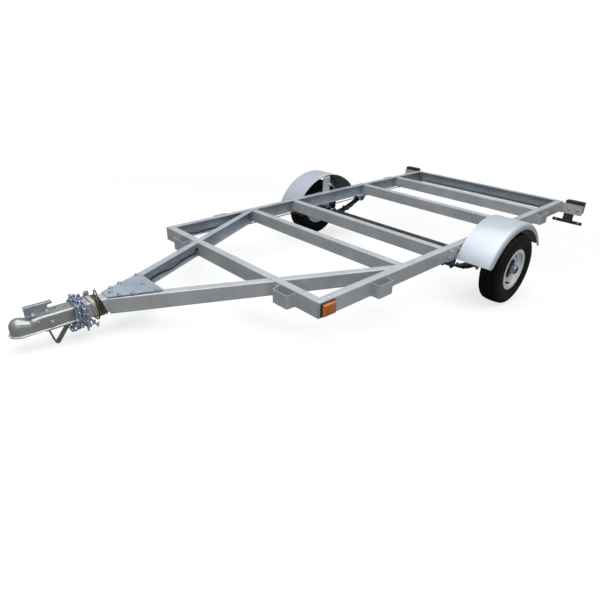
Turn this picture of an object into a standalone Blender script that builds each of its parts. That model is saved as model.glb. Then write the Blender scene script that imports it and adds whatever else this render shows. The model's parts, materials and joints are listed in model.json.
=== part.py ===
"""Utility trailer: a bolted bed of channel sections on one sprung axle, with a ball coupler.

The trailer is drawn level, with the front edge of its bed at y = 0, the bed's top at z = 0 and the
tongue pointing along -Y. It is then set down as it parks, on both tyres and on the bent strap
under its coupler. Left and right are as seen by someone who looks forward along the tongue.
"""

import math

import bmesh
import bpy
from mathutils import Matrix, Vector

# Bed
BED_WIDTH = 1.2192
BED_LENGTH = 2.4384
RAIL_HEIGHT = 0.0762
RAIL_FLANGE = 0.038
RAIL_WALL = 0.003
RAIL_BEND = 0.005
CROSSMEMBER_FLANGE = 0.038
FRONT_CROSSMEMBERS = (0.576, 0.930)
REAR_CROSSMEMBERS = (0.7734, 0.3634)
SPLICE_OVERLAP = 0.053
SPLICE_THICKNESS = 0.004
SPLICE_CORNER = 0.004

# Tongue
TONGUE_APEX = -0.617
BEAM_SIDE = 0.0635
BEAM_WALL = 0.003
BEAM_CORNER = 0.006
BEAM_REAR = -0.420
GUSSET_THICKNESS = 0.004
GUSSET_REAR = -0.412
GUSSET_FRONT_HALF_WIDTH = 0.030
GUSSET_EDGE_INSET = 0.018
GUSSET_CORNER = 0.006

# Stake pockets
POCKET_LENGTH = 0.098
POCKET_DEPTH = 0.043
POCKET_HEIGHT = 0.064
POCKET_DROP = 0.012
POCKET_WALL = 0.003
POCKET_BEND = 0.009
FRONT_SIDE_POCKET = 0.385
REAR_SIDE_POCKET_INSET = 0.3934
END_POCKET_INSET = 0.1959

# Coupler
COUPLER_REAR = -0.715
COUPLER_WALL = 0.004
COUPLER_SKIRT = 0.054
COUPLER_BEND = 0.009
COUPLER_WAIST = -0.866
COUPLER_BEAM_LAP = 0.006
NECK_DROP = 0.008
NECK_LENGTH = 0.010
BALL_STATION = -0.938
BALL_DROP = 0.024
DOME_RADIUS = 0.034
COUPLER_LIP = 0.006
COUPLER_LIP_THICKNESS = 0.004
LATCH_FRONT = -0.912
LATCH_REAR = -0.812
LATCH_HEIGHT = 0.036
LATCH_FLANGE = 0.015
LATCH_SHEET = 0.003
LATCH_WEB_SHORTER = 0.018
LATCH_CREASE = 0.002
LATCH_NOTCH_CEILING = 0.010
LATCH_NOTCH_CORNER = 0.004

# Foot strap
FOOT_WIDTH = 0.028
FOOT_SHEET = 0.005
FOOT_FRONT = -0.848
FOOT_REAR = -0.762
FOOT_APEX = -0.829
FOOT_HEIGHT = 0.084
FOOT_BEND = 0.010
FOOT_TOP_BEND = 0.006
FOOT_INNER_BEND = 0.002

# Running gear
AXLE_FROM_TAIL = 1.1184
AXLE_SIDE = 0.038
AXLE_CHAMFER = 0.003
AXLE_END_CLEARANCE = 0.019
SPINDLE_RADIUS = 0.0135
SPINDLE_END_CLEARANCE = 0.004
SPRING_HALF_SPAN = 0.317
SPRING_CAMBER = 0.074
SPRING_WIDTH = 0.0445
LEAF_THICKNESS = 0.0065
LEAF_SHARES = (1.0, 0.72, 0.42)
EYE_DROP = 0.022
EYE_OUTER_RADIUS = 0.0145
EYE_BOLT_RADIUS = 0.0065
EYE_BOLT_HEAD_RADIUS = 0.011
EYE_BOLT_HEAD_HEIGHT = 0.0075
HANGER_SHEET = 0.004
HANGER_SIDE_CLEARANCE = 0.0015
HANGER_BEND = 0.005
HANGER_SHOULDER = 0.010
FRONT_HANGER_LENGTH = 0.060
REAR_HANGER_LENGTH = 0.085
HANGER_TOE_LENGTH = 0.036
HANGER_BELOW_EYE = 0.020
CLAMP_PLATE_HALF_LENGTH = 0.036
CLAMP_PLATE_THICKNESS = 0.006
CLAMP_PLATE_MARGIN = 0.004
CLAMP_ROD_RADIUS = 0.005
CLAMP_ROD_END = 0.014

# Wheels
TYRE_STANDOFF = 0.095
TYRE_RADIUS = 0.204
TYRE_HALF_WIDTH = 0.061
TYRE_WALL = 0.008
TREAD_HALF_WIDTH = 0.038
TREAD_DROP = 0.003
SHOULDER_HALF_WIDTH = 0.052
SHOULDER_DROP = 0.014
WHEEL_SEGMENTS = 36
SEAT_RADIUS = 0.1016
RIM_FLANGE_RADIUS = 0.116
RIM_HALF_WIDTH = 0.050
RIM_SHEET = 0.003
SEAT_WIDTH = 0.017
WELL_SLOPE = 0.007
WELL_DEPTH = 0.014
DISC_BULGE = 0.016
DISC_CREST_DROP = 0.014
DISC_FACE = 0.004
DISC_FACE_RADIUS = 0.048
DISC_HOLE_CLEARANCE = 0.003
HUB_FLANGE_RADIUS = 0.050
HUB_FLANGE_THICKNESS = 0.007
HUB_ROOT = 0.016
HUB_BARREL_RADIUS = 0.030
HUB_CAP_RADIUS = 0.024
HUB_CAP_CORNER = 0.006
HUB_INNER = -0.046
HUB_OUTER = 0.064
HUB_CAP_LENGTH = 0.030
BORE_END = 0.022
BEARING_CLEARANCE = 0.0006

# Fenders
FENDER_RADIUS = 0.337
FENDER_BELOW_AXLE = 0.077
FENDER_WIDTH = 0.195
FENDER_SHEET = 0.002
FENDER_SHOULDER = 0.022
FENDER_LIP = 0.012
FENDER_END_ANGLE = math.radians(27.5)
FENDER_STEPS = 22
FENDER_STANDOFF = 0.007
STAY_WIDTH = 0.068
STAY_FORWARD = 0.032
STAY_THICKNESS = 0.004
STAY_FOOT = 0.062
STAY_BEND = 0.008

# Lamps
LAMP_PLATE_REACH = 0.140
LAMP_PLATE_HEIGHT = 0.070
LAMP_PLATE_DROP = 0.010
LAMP_PLATE_THICKNESS = 0.003
LAMP_LAP = 0.050
LAMP_WIDTH = 0.120
LAMP_HEIGHT = 0.085
LAMP_DEPTH = 0.030
LAMP_END_INSET = 0.004
LAMP_ABOVE_PLATE = 0.022
LAMP_PLATE_CORNER = 0.006
LAMP_CORNER = 0.008
LENS_CORNER = 0.006
LENS_DEPTH = 0.016
LENS_BORDER = 0.006
MARKER_FRONT = 0.008
MARKER_LENGTH = 0.080
MARKER_HEIGHT = 0.062
MARKER_DROP = 0.0055
MARKER_BASE = 0.008
MARKER_LENS = 0.014
MARKER_RIM = 0.004
PLATE_BAR_LENGTH = 0.200
PLATE_BAR_HEIGHT = 0.022
PLATE_BAR_DROP = 0.070
PLATE_OFFSET = 0.057
PLATE_CORNER = 0.004
PLATE_STEM_CORNER = 0.006
PLATE_TOP_CORNER = 0.002
PLATE_SLOT_INSET = 0.024
PLATE_STEM_WIDTH = 0.066
PLATE_SHEET = 0.003
PLATE_SLOT_LENGTH = 0.026
PLATE_SLOT_WIDTH = 0.008

# Safety chains, wound round the coupler's tail and back over themselves
LINK_WIRE_RADIUS = 0.00275
LINK_INNER_LENGTH = 0.026
LINK_HALF_WIDTH = 0.00775
LINK_PRESS = 0.0009
LINK_SIDES = 5
CHAIN_FRONT = -0.7505
CHAIN_TURN_PITCH = 0.0220
CHAIN_FIRST_TURNS = 2.0
CHAIN_CLIMB_TURNS = 0.30
CHAIN_TURNS = 2.49
CHAIN_START = math.radians(250.0)
CHAIN_RETURN_PITCH = 0.040
CHAIN_SLACK = 0.0055
CHAIN_TOP_SLACK = 0.0032
CHAIN_LAYER = 0.0188
CHAIN_SQUARENESS = 4.0
HOOK_ROD_RADIUS = 0.0042
HOOK_RADIUS = 0.021
HOOK_LIFTS = (0.004, 0.0070)
HOOK_SHANK = 0.030
HOOK_TIP = 0.016
HOOK_STATION = -0.709
HOOK_SIDE_OFFSET = 0.020
HOOK_TURNS = (math.radians(12.0), math.radians(-48.0))

# Wiring
LEAD_FRONT = -0.686
LEAD_REAR = -0.636
LEAD_RADIUS = 0.0032
COIL_THICKNESS = 0.0085
TAIL_CLEARANCE = 0.0012
TAIL_SPACING = 0.010
TAIL_POINTS = (
    (-0.012, -0.6500, 0.0000),
    (-0.011, -0.6502, 0.0110),
    (-0.003, -0.6510, 0.0235),
    (0.011, -0.6530, 0.0275),
    (0.027, -0.6555, 0.0215),
    (0.040, -0.6580, 0.0075),
    (0.047, -0.6605, -0.0140),
    (0.0468, -0.6625, -0.0370),
    (0.0462, -0.6640, -0.0600),
    (0.0405, -0.6650, -0.0780),
    (0.0280, -0.6660, -0.0880),
    (0.0100, -0.6670, -0.0900),
    (-0.0100, -0.6680, -0.0895),
    (-0.0280, -0.6690, -0.0880),
    (-0.0430, -0.6700, -0.0780),
    (-0.0475, -0.6715, -0.0600),
    (-0.0468, -0.6720, -0.0460),
)
PLUG_LENGTH = 0.048
PLUG_WIDTH = 0.022
PLUG_THICKNESS = 0.009
PLUG_CORNER = 0.003
GROMMET_RADIUS = 0.009
GROMMET_HEIGHT = 0.005
HARNESS_RADIUS = 0.0032
HARNESS_SLACK = 0.0008
HARNESS_FRONT = -0.480
HARNESS_HOLE_RADIUS = 0.010
HARNESS_HOLE_STATION = 0.020
HARNESS_WAVE = 0.006
HARNESS_INSET = 0.060
HARNESS_CORNER = 0.045
HARNESS_TURN = 0.430
HARNESS_END_SHIFT = 0.028
HARNESS_SPACING = 0.045

GAP = 0.0003
ARC_STEPS = 3

RAIL_BOTTOM = -RAIL_HEIGHT
RAIL_HALF = BED_WIDTH / 2
RAIL_SEAM = BED_LENGTH / 2
NESTED_TOP = -RAIL_WALL - GAP
NESTED_BOTTOM = RAIL_BOTTOM + RAIL_WALL + GAP
NESTED_END = RAIL_HALF - RAIL_BEND - GAP
CROSSMEMBERS = FRONT_CROSSMEMBERS + tuple(BED_LENGTH - inset for inset in REAR_CROSSMEMBERS)
SIDE_POCKETS = (FRONT_SIDE_POCKET, BED_LENGTH - REAR_SIDE_POCKET_INSET)
END_POCKET_OFFSET = RAIL_HALF - END_POCKET_INSET
BEAM_HALF = BEAM_SIDE / 2
BEAM_BOTTOM = -BEAM_SIDE
TONGUE_TAN = (NESTED_END - BEAM_HALF - GAP) / (CROSSMEMBERS[0] - GAP - TONGUE_APEX)
TONGUE_ANGLE = math.atan(TONGUE_TAN)
TONGUE_HALF_SPREAD = BEAM_HALF + GAP - TONGUE_APEX * TONGUE_TAN
AXLE_STATION = BED_LENGTH - AXLE_FROM_TAIL
SPRING_OFFSET = RAIL_HALF - RAIL_FLANGE / 2
EYE_HEIGHT = RAIL_BOTTOM - EYE_DROP
LEAF_PACK = LEAF_THICKNESS * len(LEAF_SHARES)
MAIN_LEAF_TOP = EYE_HEIGHT - SPRING_CAMBER + LEAF_THICKNESS / 2
SPRING_RADIUS = (SPRING_HALF_SPAN**2 + SPRING_CAMBER**2) / (2 * SPRING_CAMBER)
AXLE_SEAT_RISE = AXLE_SIDE**2 / (8 * SPRING_RADIUS)
AXLE_HEIGHT = MAIN_LEAF_TOP + AXLE_SEAT_RISE + GAP + AXLE_SIDE / 2
FENDER_CENTRE = AXLE_HEIGHT - FENDER_BELOW_AXLE
SPLICE_HALF_LENGTH = SPRING_HALF_SPAN + SPLICE_OVERLAP
SPLICE_FACE = RAIL_HALF + GAP + SPLICE_THICKNESS
WHEEL_OFFSET = SPLICE_FACE + TYRE_STANDOFF + TYRE_HALF_WIDTH
AXLE_HALF_LENGTH = WHEEL_OFFSET + HUB_INNER - AXLE_END_CLEARANCE
SPINDLE_REACH = WHEEL_OFFSET + HUB_OUTER - BORE_END - SPINDLE_END_CLEARANCE
FENDER_INNER = SPLICE_FACE + FENDER_STANDOFF
COUPLER_INNER_HALF = BEAM_HALF + GAP
COUPLER_HALF = COUPLER_INNER_HALF + COUPLER_WALL
COUPLER_TOP = GAP + COUPLER_WALL
COUPLER_NECK = BALL_STATION + DOME_RADIUS * 0.95
BEAM_FRONT = COUPLER_WAIST + COUPLER_BEAM_LAP
LINK_LEAN = math.pi / 4
LINK_REACH = LINK_HALF_WIDTH * math.sin(LINK_LEAN) + LINK_WIRE_RADIUS
COIL_SIDE = BEAM_HALF + GAP + COIL_THICKNESS
COIL_TOP = GAP + COIL_THICKNESS
SIDES = (("left", 1.0), ("right", -1.0))


def material(name, colour, roughness, metallic):
    """A plain surface."""
    made = bpy.data.materials.new(name)
    made.use_nodes = True
    surface = made.node_tree.nodes["Principled BSDF"]
    surface.inputs["Base Color"].default_value = (*colour, 1.0)
    surface.inputs["Roughness"].default_value = roughness
    surface.inputs["Metallic"].default_value = metallic
    made.diffuse_color = (*colour, 1.0)
    return made


def finishes():
    """The surfaces that the trailer has."""
    return {
        "galvanised": material("galvanised", (0.60, 0.63, 0.66), 0.42, 0.75),
        "fender_steel": material("fender_steel", (0.72, 0.75, 0.79), 0.35, 0.55),
        "zinc": material("zinc", (0.62, 0.66, 0.72), 0.30, 0.85),
        "black_paint": material("black_paint", (0.02, 0.02, 0.022), 0.45, 0.0),
        "rubber": material("rubber", (0.015, 0.015, 0.016), 0.80, 0.0),
        "rim_paint": material("rim_paint", (0.80, 0.81, 0.83), 0.35, 0.1),
        "amber": material("amber", (0.70, 0.22, 0.03), 0.15, 0.0),
        "red": material("red", (0.45, 0.02, 0.02), 0.15, 0.0),
        "black_plastic": material("black_plastic", (0.02, 0.02, 0.02), 0.50, 0.0),
        "wire": material("wire", (0.16, 0.15, 0.07), 0.55, 0.0),
    }


def arc(centre, radius, start, end, steps):
    """Points on an arc, both ends included."""
    turn = (end - start) / steps
    angles = [start + turn * step for step in range(steps + 1)]
    return [(centre[0] + radius * math.cos(a), centre[1] + radius * math.sin(a)) for a in angles]


def filleted(corners, steps=ARC_STEPS):
    """The outline through (x, y, radius) corners, with an arc of that radius at each."""
    outline = []
    for index, (x, y, radius) in enumerate(corners):
        here = Vector((x, y))
        if radius <= 0.0:
            outline.append((x, y))
            continue
        back = (Vector(corners[index - 1][:2]) - here).normalized()
        ahead = (Vector(corners[(index + 1) % len(corners)][:2]) - here).normalized()
        half = back.angle(ahead) / 2
        centre = here + (back + ahead).normalized() * (radius / math.sin(half))
        first = here + back * (radius / math.tan(half)) - centre
        last = here + ahead * (radius / math.tan(half)) - centre
        turn = math.atan2(first.x * last.y - first.y * last.x, first.dot(last))
        start = math.atan2(first.y, first.x)
        outline += arc(centre, radius, start, start + turn, steps)
    return outline


def box_outline(left, right, low, high, radius=0.0, steps=ARC_STEPS):
    """A rectangle's outline, with rounded corners where a radius is given."""
    corners = [(left, low, radius), (right, low, radius), (right, high, radius), (left, high, radius)]
    return filleted(corners, steps)


def along_x(a, b, w):
    return Vector((w, a, b))


def along_y(a, b, w):
    return Vector((a, w, b))


def along_z(a, b, w):
    return Vector((a, b, w))


def extruded(outline, low, high, place):
    """A prism of an outline between two stations."""
    mesh = bmesh.new()
    face = mesh.faces.new([mesh.verts.new(place(a, b, low)) for a, b in outline])
    grown = bmesh.ops.extrude_face_region(mesh, geom=[face])["geom"]
    moved = [item for item in grown if isinstance(item, bmesh.types.BMVert)]
    bmesh.ops.translate(mesh, verts=moved, vec=place(0, 0, high) - place(0, 0, low))
    bmesh.ops.recalc_face_normals(mesh, faces=mesh.faces)
    return mesh


def tube_prism(outer, inner, low, high, place):
    """A hollow prism, open at both ends, between two outlines of as many points."""
    mesh = bmesh.new()
    rings = []
    for outline, station in ((outer, low), (outer, high), (inner, high), (inner, low)):
        rings.append([mesh.verts.new(place(a, b, station)) for a, b in outline])
    for ring, following in zip(rings, rings[1:] + rings[:1]):
        for index in range(len(ring)):
            ahead = (index + 1) % len(ring)
            mesh.faces.new((ring[index], ring[ahead], following[ahead], following[index]))
    bmesh.ops.recalc_face_normals(mesh, faces=mesh.faces)
    return mesh


def lofted(rings):
    """A solid through rings of as many points, with flat ends."""
    mesh = bmesh.new()
    loops = [[mesh.verts.new(point) for point in ring] for ring in rings]
    for loop, following in zip(loops, loops[1:]):
        for index in range(len(loop)):
            ahead = (index + 1) % len(loop)
            mesh.faces.new((loop[index], loop[ahead], following[ahead], following[index]))
    mesh.faces.new(loops[0])
    mesh.faces.new(loops[-1])
    bmesh.ops.recalc_face_normals(mesh, faces=mesh.faces)
    return mesh


def turned(profile, segments, closed=True, phase=0.0):
    """A solid turned about the X axis from (x, radius) points. An open profile ends on the axis."""
    mesh = bmesh.new()
    around = Matrix.Rotation(phase, 3, "X")
    verts = [mesh.verts.new(around @ Vector((x, 0.0, -radius))) for x, radius in profile]
    pairs = list(zip(verts, verts[1:]))
    if closed:
        pairs.append((verts[-1], verts[0]))
    edges = [mesh.edges.new(pair) for pair in pairs]
    bmesh.ops.spin(
        mesh,
        geom=verts + edges,
        cent=(0, 0, 0),
        axis=(1, 0, 0),
        angle=math.tau,
        steps=segments,
        use_merge=True,
    )
    bmesh.ops.remove_doubles(mesh, verts=mesh.verts, dist=1e-6)
    bmesh.ops.recalc_face_normals(mesh, faces=mesh.faces)
    return mesh


def round_outline(radius, sides):
    """A regular outline round the origin."""
    return arc((0.0, 0.0), radius, 0.0, math.tau * (sides - 1) / sides, sides - 1)


def swept(path, outline, closed=False, up=Vector((1, 0, 0))):
    """A solid of an outline carried along a path, its first direction kept near up."""
    points = [Vector(point) for point in path]
    count = len(points)
    rings = []
    for index, point in enumerate(points):
        before = points[index - 1] if index or closed else point
        after = points[(index + 1) % count] if index < count - 1 or closed else point
        ahead = (after - before).normalized()
        across = (up - ahead * up.dot(ahead)).normalized()
        other = ahead.cross(across)
        rings.append([point + across * a + other * b for a, b in outline])
    if not closed:
        return lofted(rings)
    mesh = bmesh.new()
    loops = [[mesh.verts.new(spot) for spot in ring] for ring in rings]
    for loop, following in zip(loops, loops[1:] + loops[:1]):
        for index in range(len(loop)):
            next_one = (index + 1) % len(loop)
            mesh.faces.new((loop[index], loop[next_one], following[next_one], following[index]))
    bmesh.ops.recalc_face_normals(mesh, faces=mesh.faces)
    return mesh


def trimmed(mesh, point, normal):
    """The same solid with all that lies beyond a plane cut off."""
    everything = mesh.verts[:] + mesh.edges[:] + mesh.faces[:]
    cut = bmesh.ops.bisect_plane(
        mesh, geom=everything, plane_co=point, plane_no=normal, dist=1e-7, clear_outer=True
    )
    edges = [item for item in cut["geom_cut"] if isinstance(item, bmesh.types.BMEdge)]
    bmesh.ops.holes_fill(mesh, edges=edges, sides=0)
    bmesh.ops.recalc_face_normals(mesh, faces=mesh.faces)
    return mesh


def mirrored(mesh):
    """The same solid on the other side of the trailer."""
    bmesh.ops.scale(mesh, vec=(-1, 1, 1), verts=mesh.verts)
    bmesh.ops.recalc_face_normals(mesh, faces=mesh.faces)
    return mesh


def sided(mesh, side):
    """A solid drawn for the left, turned into the one for the given side."""
    return mesh if side > 0 else mirrored(mesh)


def node(name, mesh, surface, parent, smooth=30.0):
    """An object of a solid, under a parent."""
    data = bpy.data.meshes.new(name)
    mesh.to_mesh(data)
    mesh.free()
    data.materials.append(surface)
    data.shade_smooth()
    data.set_sharp_from_angle(angle=math.radians(smooth))
    made = bpy.data.objects.new(name, data)
    bpy.context.scene.collection.objects.link(made)
    made.parent = parent
    return made


def shaped(target, mesh, operation):
    """Adds a solid to a node, takes it away or keeps what both share."""
    data = bpy.data.meshes.new(target.name + "_tool")
    mesh.to_mesh(data)
    mesh.free()
    tool = bpy.data.objects.new(target.name + "_tool", data)
    bpy.context.scene.collection.objects.link(tool)
    tool.parent = target.parent
    tool.hide_render = True
    tool.display_type = "WIRE"
    step = target.modifiers.new(operation.title(), "BOOLEAN")
    step.operation = operation
    step.solver = "EXACT"
    step.object = tool
    return target


def channel_outline(flange, low, high):
    """A channel's section, with its web's outer face at 0 and its flanges towards +."""
    inner_bend = RAIL_BEND - RAIL_WALL
    corners = [
        (0.0, low, RAIL_BEND),
        (flange, low, 0.0),
        (flange, low + RAIL_WALL, 0.0),
        (RAIL_WALL, low + RAIL_WALL, inner_bend),
        (RAIL_WALL, high - RAIL_WALL, inner_bend),
        (flange, high - RAIL_WALL, 0.0),
        (flange, high, 0.0),
        (0.0, high, RAIL_BEND),
    ]
    return filleted(corners)


def side_rails(surface, root):
    """Two channels a side that butt at the seam, mitred to the end rails, with a plate across."""
    outline = channel_outline(RAIL_FLANGE, RAIL_BOTTOM, 0.0)
    section = [(RAIL_HALF - depth, height) for depth, height in outline]
    mitre = GAP / 2
    for name, side in SIDES:
        front = extruded(section, 0.0, RAIL_SEAM - GAP / 2, along_y)
        trimmed(front, (RAIL_HALF, mitre, 0), (-1, -1, 0))
        made = node(f"rail_{name}_front", sided(front, side), surface, root)
        shaped(made, sided(stake_pocket(RAIL_HALF, SIDE_POCKETS[0], -math.pi / 2), side), "UNION")
        rear = extruded(section, RAIL_SEAM + GAP / 2, BED_LENGTH, along_y)
        trimmed(rear, (RAIL_HALF, BED_LENGTH - mitre, 0), (-1, 1, 0))
        made = node(f"rail_{name}_rear", sided(rear, side), surface, root)
        shaped(made, sided(stake_pocket(RAIL_HALF, SIDE_POCKETS[1], -math.pi / 2), side), "UNION")
        plate = box_outline(
            AXLE_STATION - SPLICE_HALF_LENGTH,
            AXLE_STATION + SPLICE_HALF_LENGTH,
            RAIL_BOTTOM,
            0.0,
            SPLICE_CORNER,
        )
        splice = extruded(plate, RAIL_HALF + GAP, SPLICE_FACE, along_x)
        node(f"splice_plate_{name}", sided(splice, side), surface, root)


def end_rails(surface, root):
    """Front and rear channels, mitred to the side rails. The tongue bars pass through the front one."""
    outline = channel_outline(RAIL_FLANGE, RAIL_BOTTOM, 0.0)
    mitre = GAP / 2
    for name, station, facing in (("front", 0.0, 1.0), ("rear", BED_LENGTH, -1.0)):
        section = [(station + facing * depth, height) for depth, height in outline]
        rail = extruded(section, -RAIL_HALF, RAIL_HALF, along_x)
        for side in (1.0, -1.0):
            trimmed(rail, (side * (RAIL_HALF - mitre), station, 0), (side, facing, 0))
        made = node(f"rail_{name}", rail, surface, root)
        turn = math.pi if name == "front" else 0.0
        for _, side in SIDES:
            shaped(made, stake_pocket(side * END_POCKET_OFFSET, station, turn), "UNION")
        if name == "front":
            for _, side in SIDES:
                shaped(made, tongue_prism(side, -GAP, GAP), "DIFFERENCE")


def tongue_prism(side, grow_low, grow_high):
    """A solid bar as wide and high as a tongue bar where it crosses the front rail's web."""
    outline = box_outline(-RAIL_FLANGE - GAP, GAP, NESTED_BOTTOM + grow_low, NESTED_TOP + grow_high)
    reach = RAIL_FLANGE * 0.9
    bar = extruded(outline, -reach, reach, along_tongue)
    trimmed(bar, (0, RAIL_WALL * 2, 0), (0, 1, 0))
    return sided(bar, side)


def along_tongue(across, height, station):
    """Places a point of the left bar: outward of its web, above the bed, along it from the rail."""
    sine, cosine = math.sin(TONGUE_ANGLE), math.cos(TONGUE_ANGLE)
    x = TONGUE_HALF_SPREAD + across * cosine + station * sine
    return Vector((x, -across * sine + station * cosine, height))


def tongue_bars(surface, root):
    """Two channels from the beam's sides, through the front rail and into the side rails."""
    outline = channel_outline(RAIL_FLANGE, NESTED_BOTTOM, NESTED_TOP)
    section = [(-depth, height) for depth, height in outline]
    ahead = (TONGUE_HALF_SPREAD + RAIL_FLANGE) / math.sin(TONGUE_ANGLE)
    behind = (RAIL_HALF + RAIL_FLANGE) / math.sin(TONGUE_ANGLE)
    for name, side in SIDES:
        bar = extruded(section, -ahead, behind, along_tongue)
        trimmed(bar, (BEAM_HALF + GAP, 0, 0), (-1, 0, 0))
        trimmed(bar, (NESTED_END, 0, 0), (1, 0, 0))
        trimmed(bar, (0, CROSSMEMBERS[0] - GAP, 0), (0, 1, 0))
        node(f"tongue_bar_{name}", sided(bar, side), surface, root)


def tongue_beam(surface, root):
    """The square tube that carries the coupler, and the gusset plate that ties it to the bars."""
    outer = box_outline(-BEAM_HALF, BEAM_HALF, BEAM_BOTTOM, 0.0, BEAM_CORNER)
    inside = BEAM_HALF - BEAM_WALL
    bend = BEAM_CORNER - BEAM_WALL
    inner = box_outline(-inside, inside, BEAM_BOTTOM + BEAM_WALL, -BEAM_WALL, bend)
    beam = tube_prism(outer, inner, BEAM_FRONT, BEAM_REAR, along_y)
    node("tongue_beam", beam, surface, root)
    wide = BEAM_HALF + (GUSSET_REAR - TONGUE_APEX) * TONGUE_TAN - GUSSET_EDGE_INSET
    corners = [
        (-GUSSET_FRONT_HALF_WIDTH, TONGUE_APEX, GUSSET_CORNER),
        (GUSSET_FRONT_HALF_WIDTH, TONGUE_APEX, GUSSET_CORNER),
        (wide, GUSSET_REAR, GUSSET_CORNER),
        (-wide, GUSSET_REAR, GUSSET_CORNER),
    ]
    gusset = extruded(filleted(corners), GAP, GAP + GUSSET_THICKNESS, along_z)
    node("gusset_plate", gusset, surface, root)


def crossmembers(surface, root):
    """Channels between the side rails, webs forward, nested in the rails' flanges."""
    outline = channel_outline(CROSSMEMBER_FLANGE, NESTED_BOTTOM, NESTED_TOP)
    for number, station in enumerate(CROSSMEMBERS, start=1):
        section = [(station + depth, height) for depth, height in outline]
        node(f"crossmember_{number}", extruded(section, -NESTED_END, NESTED_END, along_x), surface, root)


def stake_pocket(x, y, turn):
    """A strap bent to a U that takes a wooden stake, its ends sunk in the web that carries it."""
    half = POCKET_LENGTH / 2
    inside = POCKET_BEND - POCKET_WALL
    sunk = -RAIL_WALL / 2
    corners = [
        (-half, sunk, 0.0),
        (-half + POCKET_WALL, sunk, 0.0),
        (-half + POCKET_WALL, POCKET_DEPTH - POCKET_WALL, inside),
        (half - POCKET_WALL, POCKET_DEPTH - POCKET_WALL, inside),
        (half - POCKET_WALL, sunk, 0.0),
        (half, sunk, 0.0),
        (half, POCKET_DEPTH, POCKET_BEND),
        (-half, POCKET_DEPTH, POCKET_BEND),
    ]
    strap = extruded(filleted(corners), -POCKET_DROP - POCKET_HEIGHT, -POCKET_DROP, along_z)
    bmesh.ops.transform(
        strap, verts=strap.verts, matrix=Matrix.Translation((x, y, 0)) @ Matrix.Rotation(turn, 4, "Z")
    )
    return strap


def coupler_ring(station, half, top, shoulder, bottom):
    """One section of the coupler: a sheet bent over the beam, with rounded shoulders."""
    radius = min(shoulder, half * 0.999)
    outline = [(-half, bottom)] + arc((-half + radius, top - radius), radius, math.pi, math.pi / 2, 5)
    outline += arc((half - radius, top - radius), radius, math.pi / 2, 0.0, 5) + [(half, bottom)]
    return [Vector((x, station, z)) for x, z in outline]


def coupler_solid(inset, bottom):
    """The coupler's body from its tail to its nose, drawn in by the given inset."""
    ball = -BALL_DROP
    dome = DOME_RADIUS - inset
    tail = COUPLER_REAR + (0.01 if inset else 0.0)
    flank = COUPLER_HALF - inset
    crown = COUPLER_TOP - inset
    rings = [
        coupler_ring(tail, flank, crown, COUPLER_BEND - inset, bottom),
        coupler_ring(COUPLER_WAIST, flank, crown, COUPLER_BEND - inset, bottom),
        coupler_ring(COUPLER_NECK + NECK_LENGTH, (flank + dome) / 2, crown - NECK_DROP / 2, dome / 2, bottom),
        coupler_ring(COUPLER_NECK, dome, crown - NECK_DROP, dome * 0.7, bottom),
    ]
    for step in range(1, 9):
        angle = math.pi / 2 * step / 9
        reach = dome * math.cos(angle)
        rings.append(
            coupler_ring(BALL_STATION - dome * math.sin(angle), reach, ball + reach, reach, bottom)
        )
    start = coupler_ring(BALL_STATION, dome, ball + dome, dome, bottom)
    rings.insert(4, start)
    return lofted(rings)


def coupler(surface, zinc, root):
    """The pressed coupler with a socket for the ball, and the latch that stands on it."""
    skirt = -COUPLER_SKIRT
    body = node("coupler", coupler_solid(0.0, skirt), surface, root, 40.0)
    shaped(body, coupler_solid(COUPLER_WALL, skirt - 0.01), "DIFFERENCE")
    reach = DOME_RADIUS + COUPLER_LIP
    flange = COUPLER_HALF + COUPLER_LIP * 0.4
    lip = [(flange, COUPLER_REAR), (flange, COUPLER_WAIST)]
    lip += arc((0.0, BALL_STATION), reach, 0.0, -math.pi, 16)
    lip += [(-flange, COUPLER_WAIST), (-flange, COUPLER_REAR)]
    flank = COUPLER_HALF - COUPLER_WALL / 2
    lip += [(-flank, COUPLER_REAR), (-flank, COUPLER_WAIST)]
    lip += arc((0.0, BALL_STATION), DOME_RADIUS - COUPLER_WALL / 2, -math.pi, 0.0, 16)
    lip += [(flank, COUPLER_WAIST), (flank, COUPLER_REAR)]
    shaped(body, extruded(lip, skirt, skirt + COUPLER_LIP_THICKNESS, along_z), "UNION")
    low = COUPLER_TOP + GAP
    high = low + LATCH_HEIGHT
    corners = [
        (-LATCH_FLANGE, high, 0.0),
        (-LATCH_FLANGE, high - LATCH_SHEET, 0.0),
        (-LATCH_SHEET, high - LATCH_SHEET, 0.0),
        (-LATCH_SHEET, low, LATCH_CREASE),
        (LATCH_FLANGE, low, 0.0),
        (LATCH_FLANGE, low + LATCH_SHEET, 0.0),
        (0.0, low + LATCH_SHEET, 0.0),
        (0.0, high, LATCH_CREASE),
    ]
    latch = node("coupler_latch", extruded(filleted(corners), LATCH_FRONT, LATCH_REAR, along_y), zinc, root)
    front = LATCH_REAR - LATCH_WEB_SHORTER
    ceiling = high - LATCH_NOTCH_CEILING
    notch = box_outline(front, LATCH_REAR + 0.01, low - 0.01, ceiling, LATCH_NOTCH_CORNER)
    shaped(latch, extruded(notch, -0.1, 0.1, along_x), "DIFFERENCE")


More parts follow.
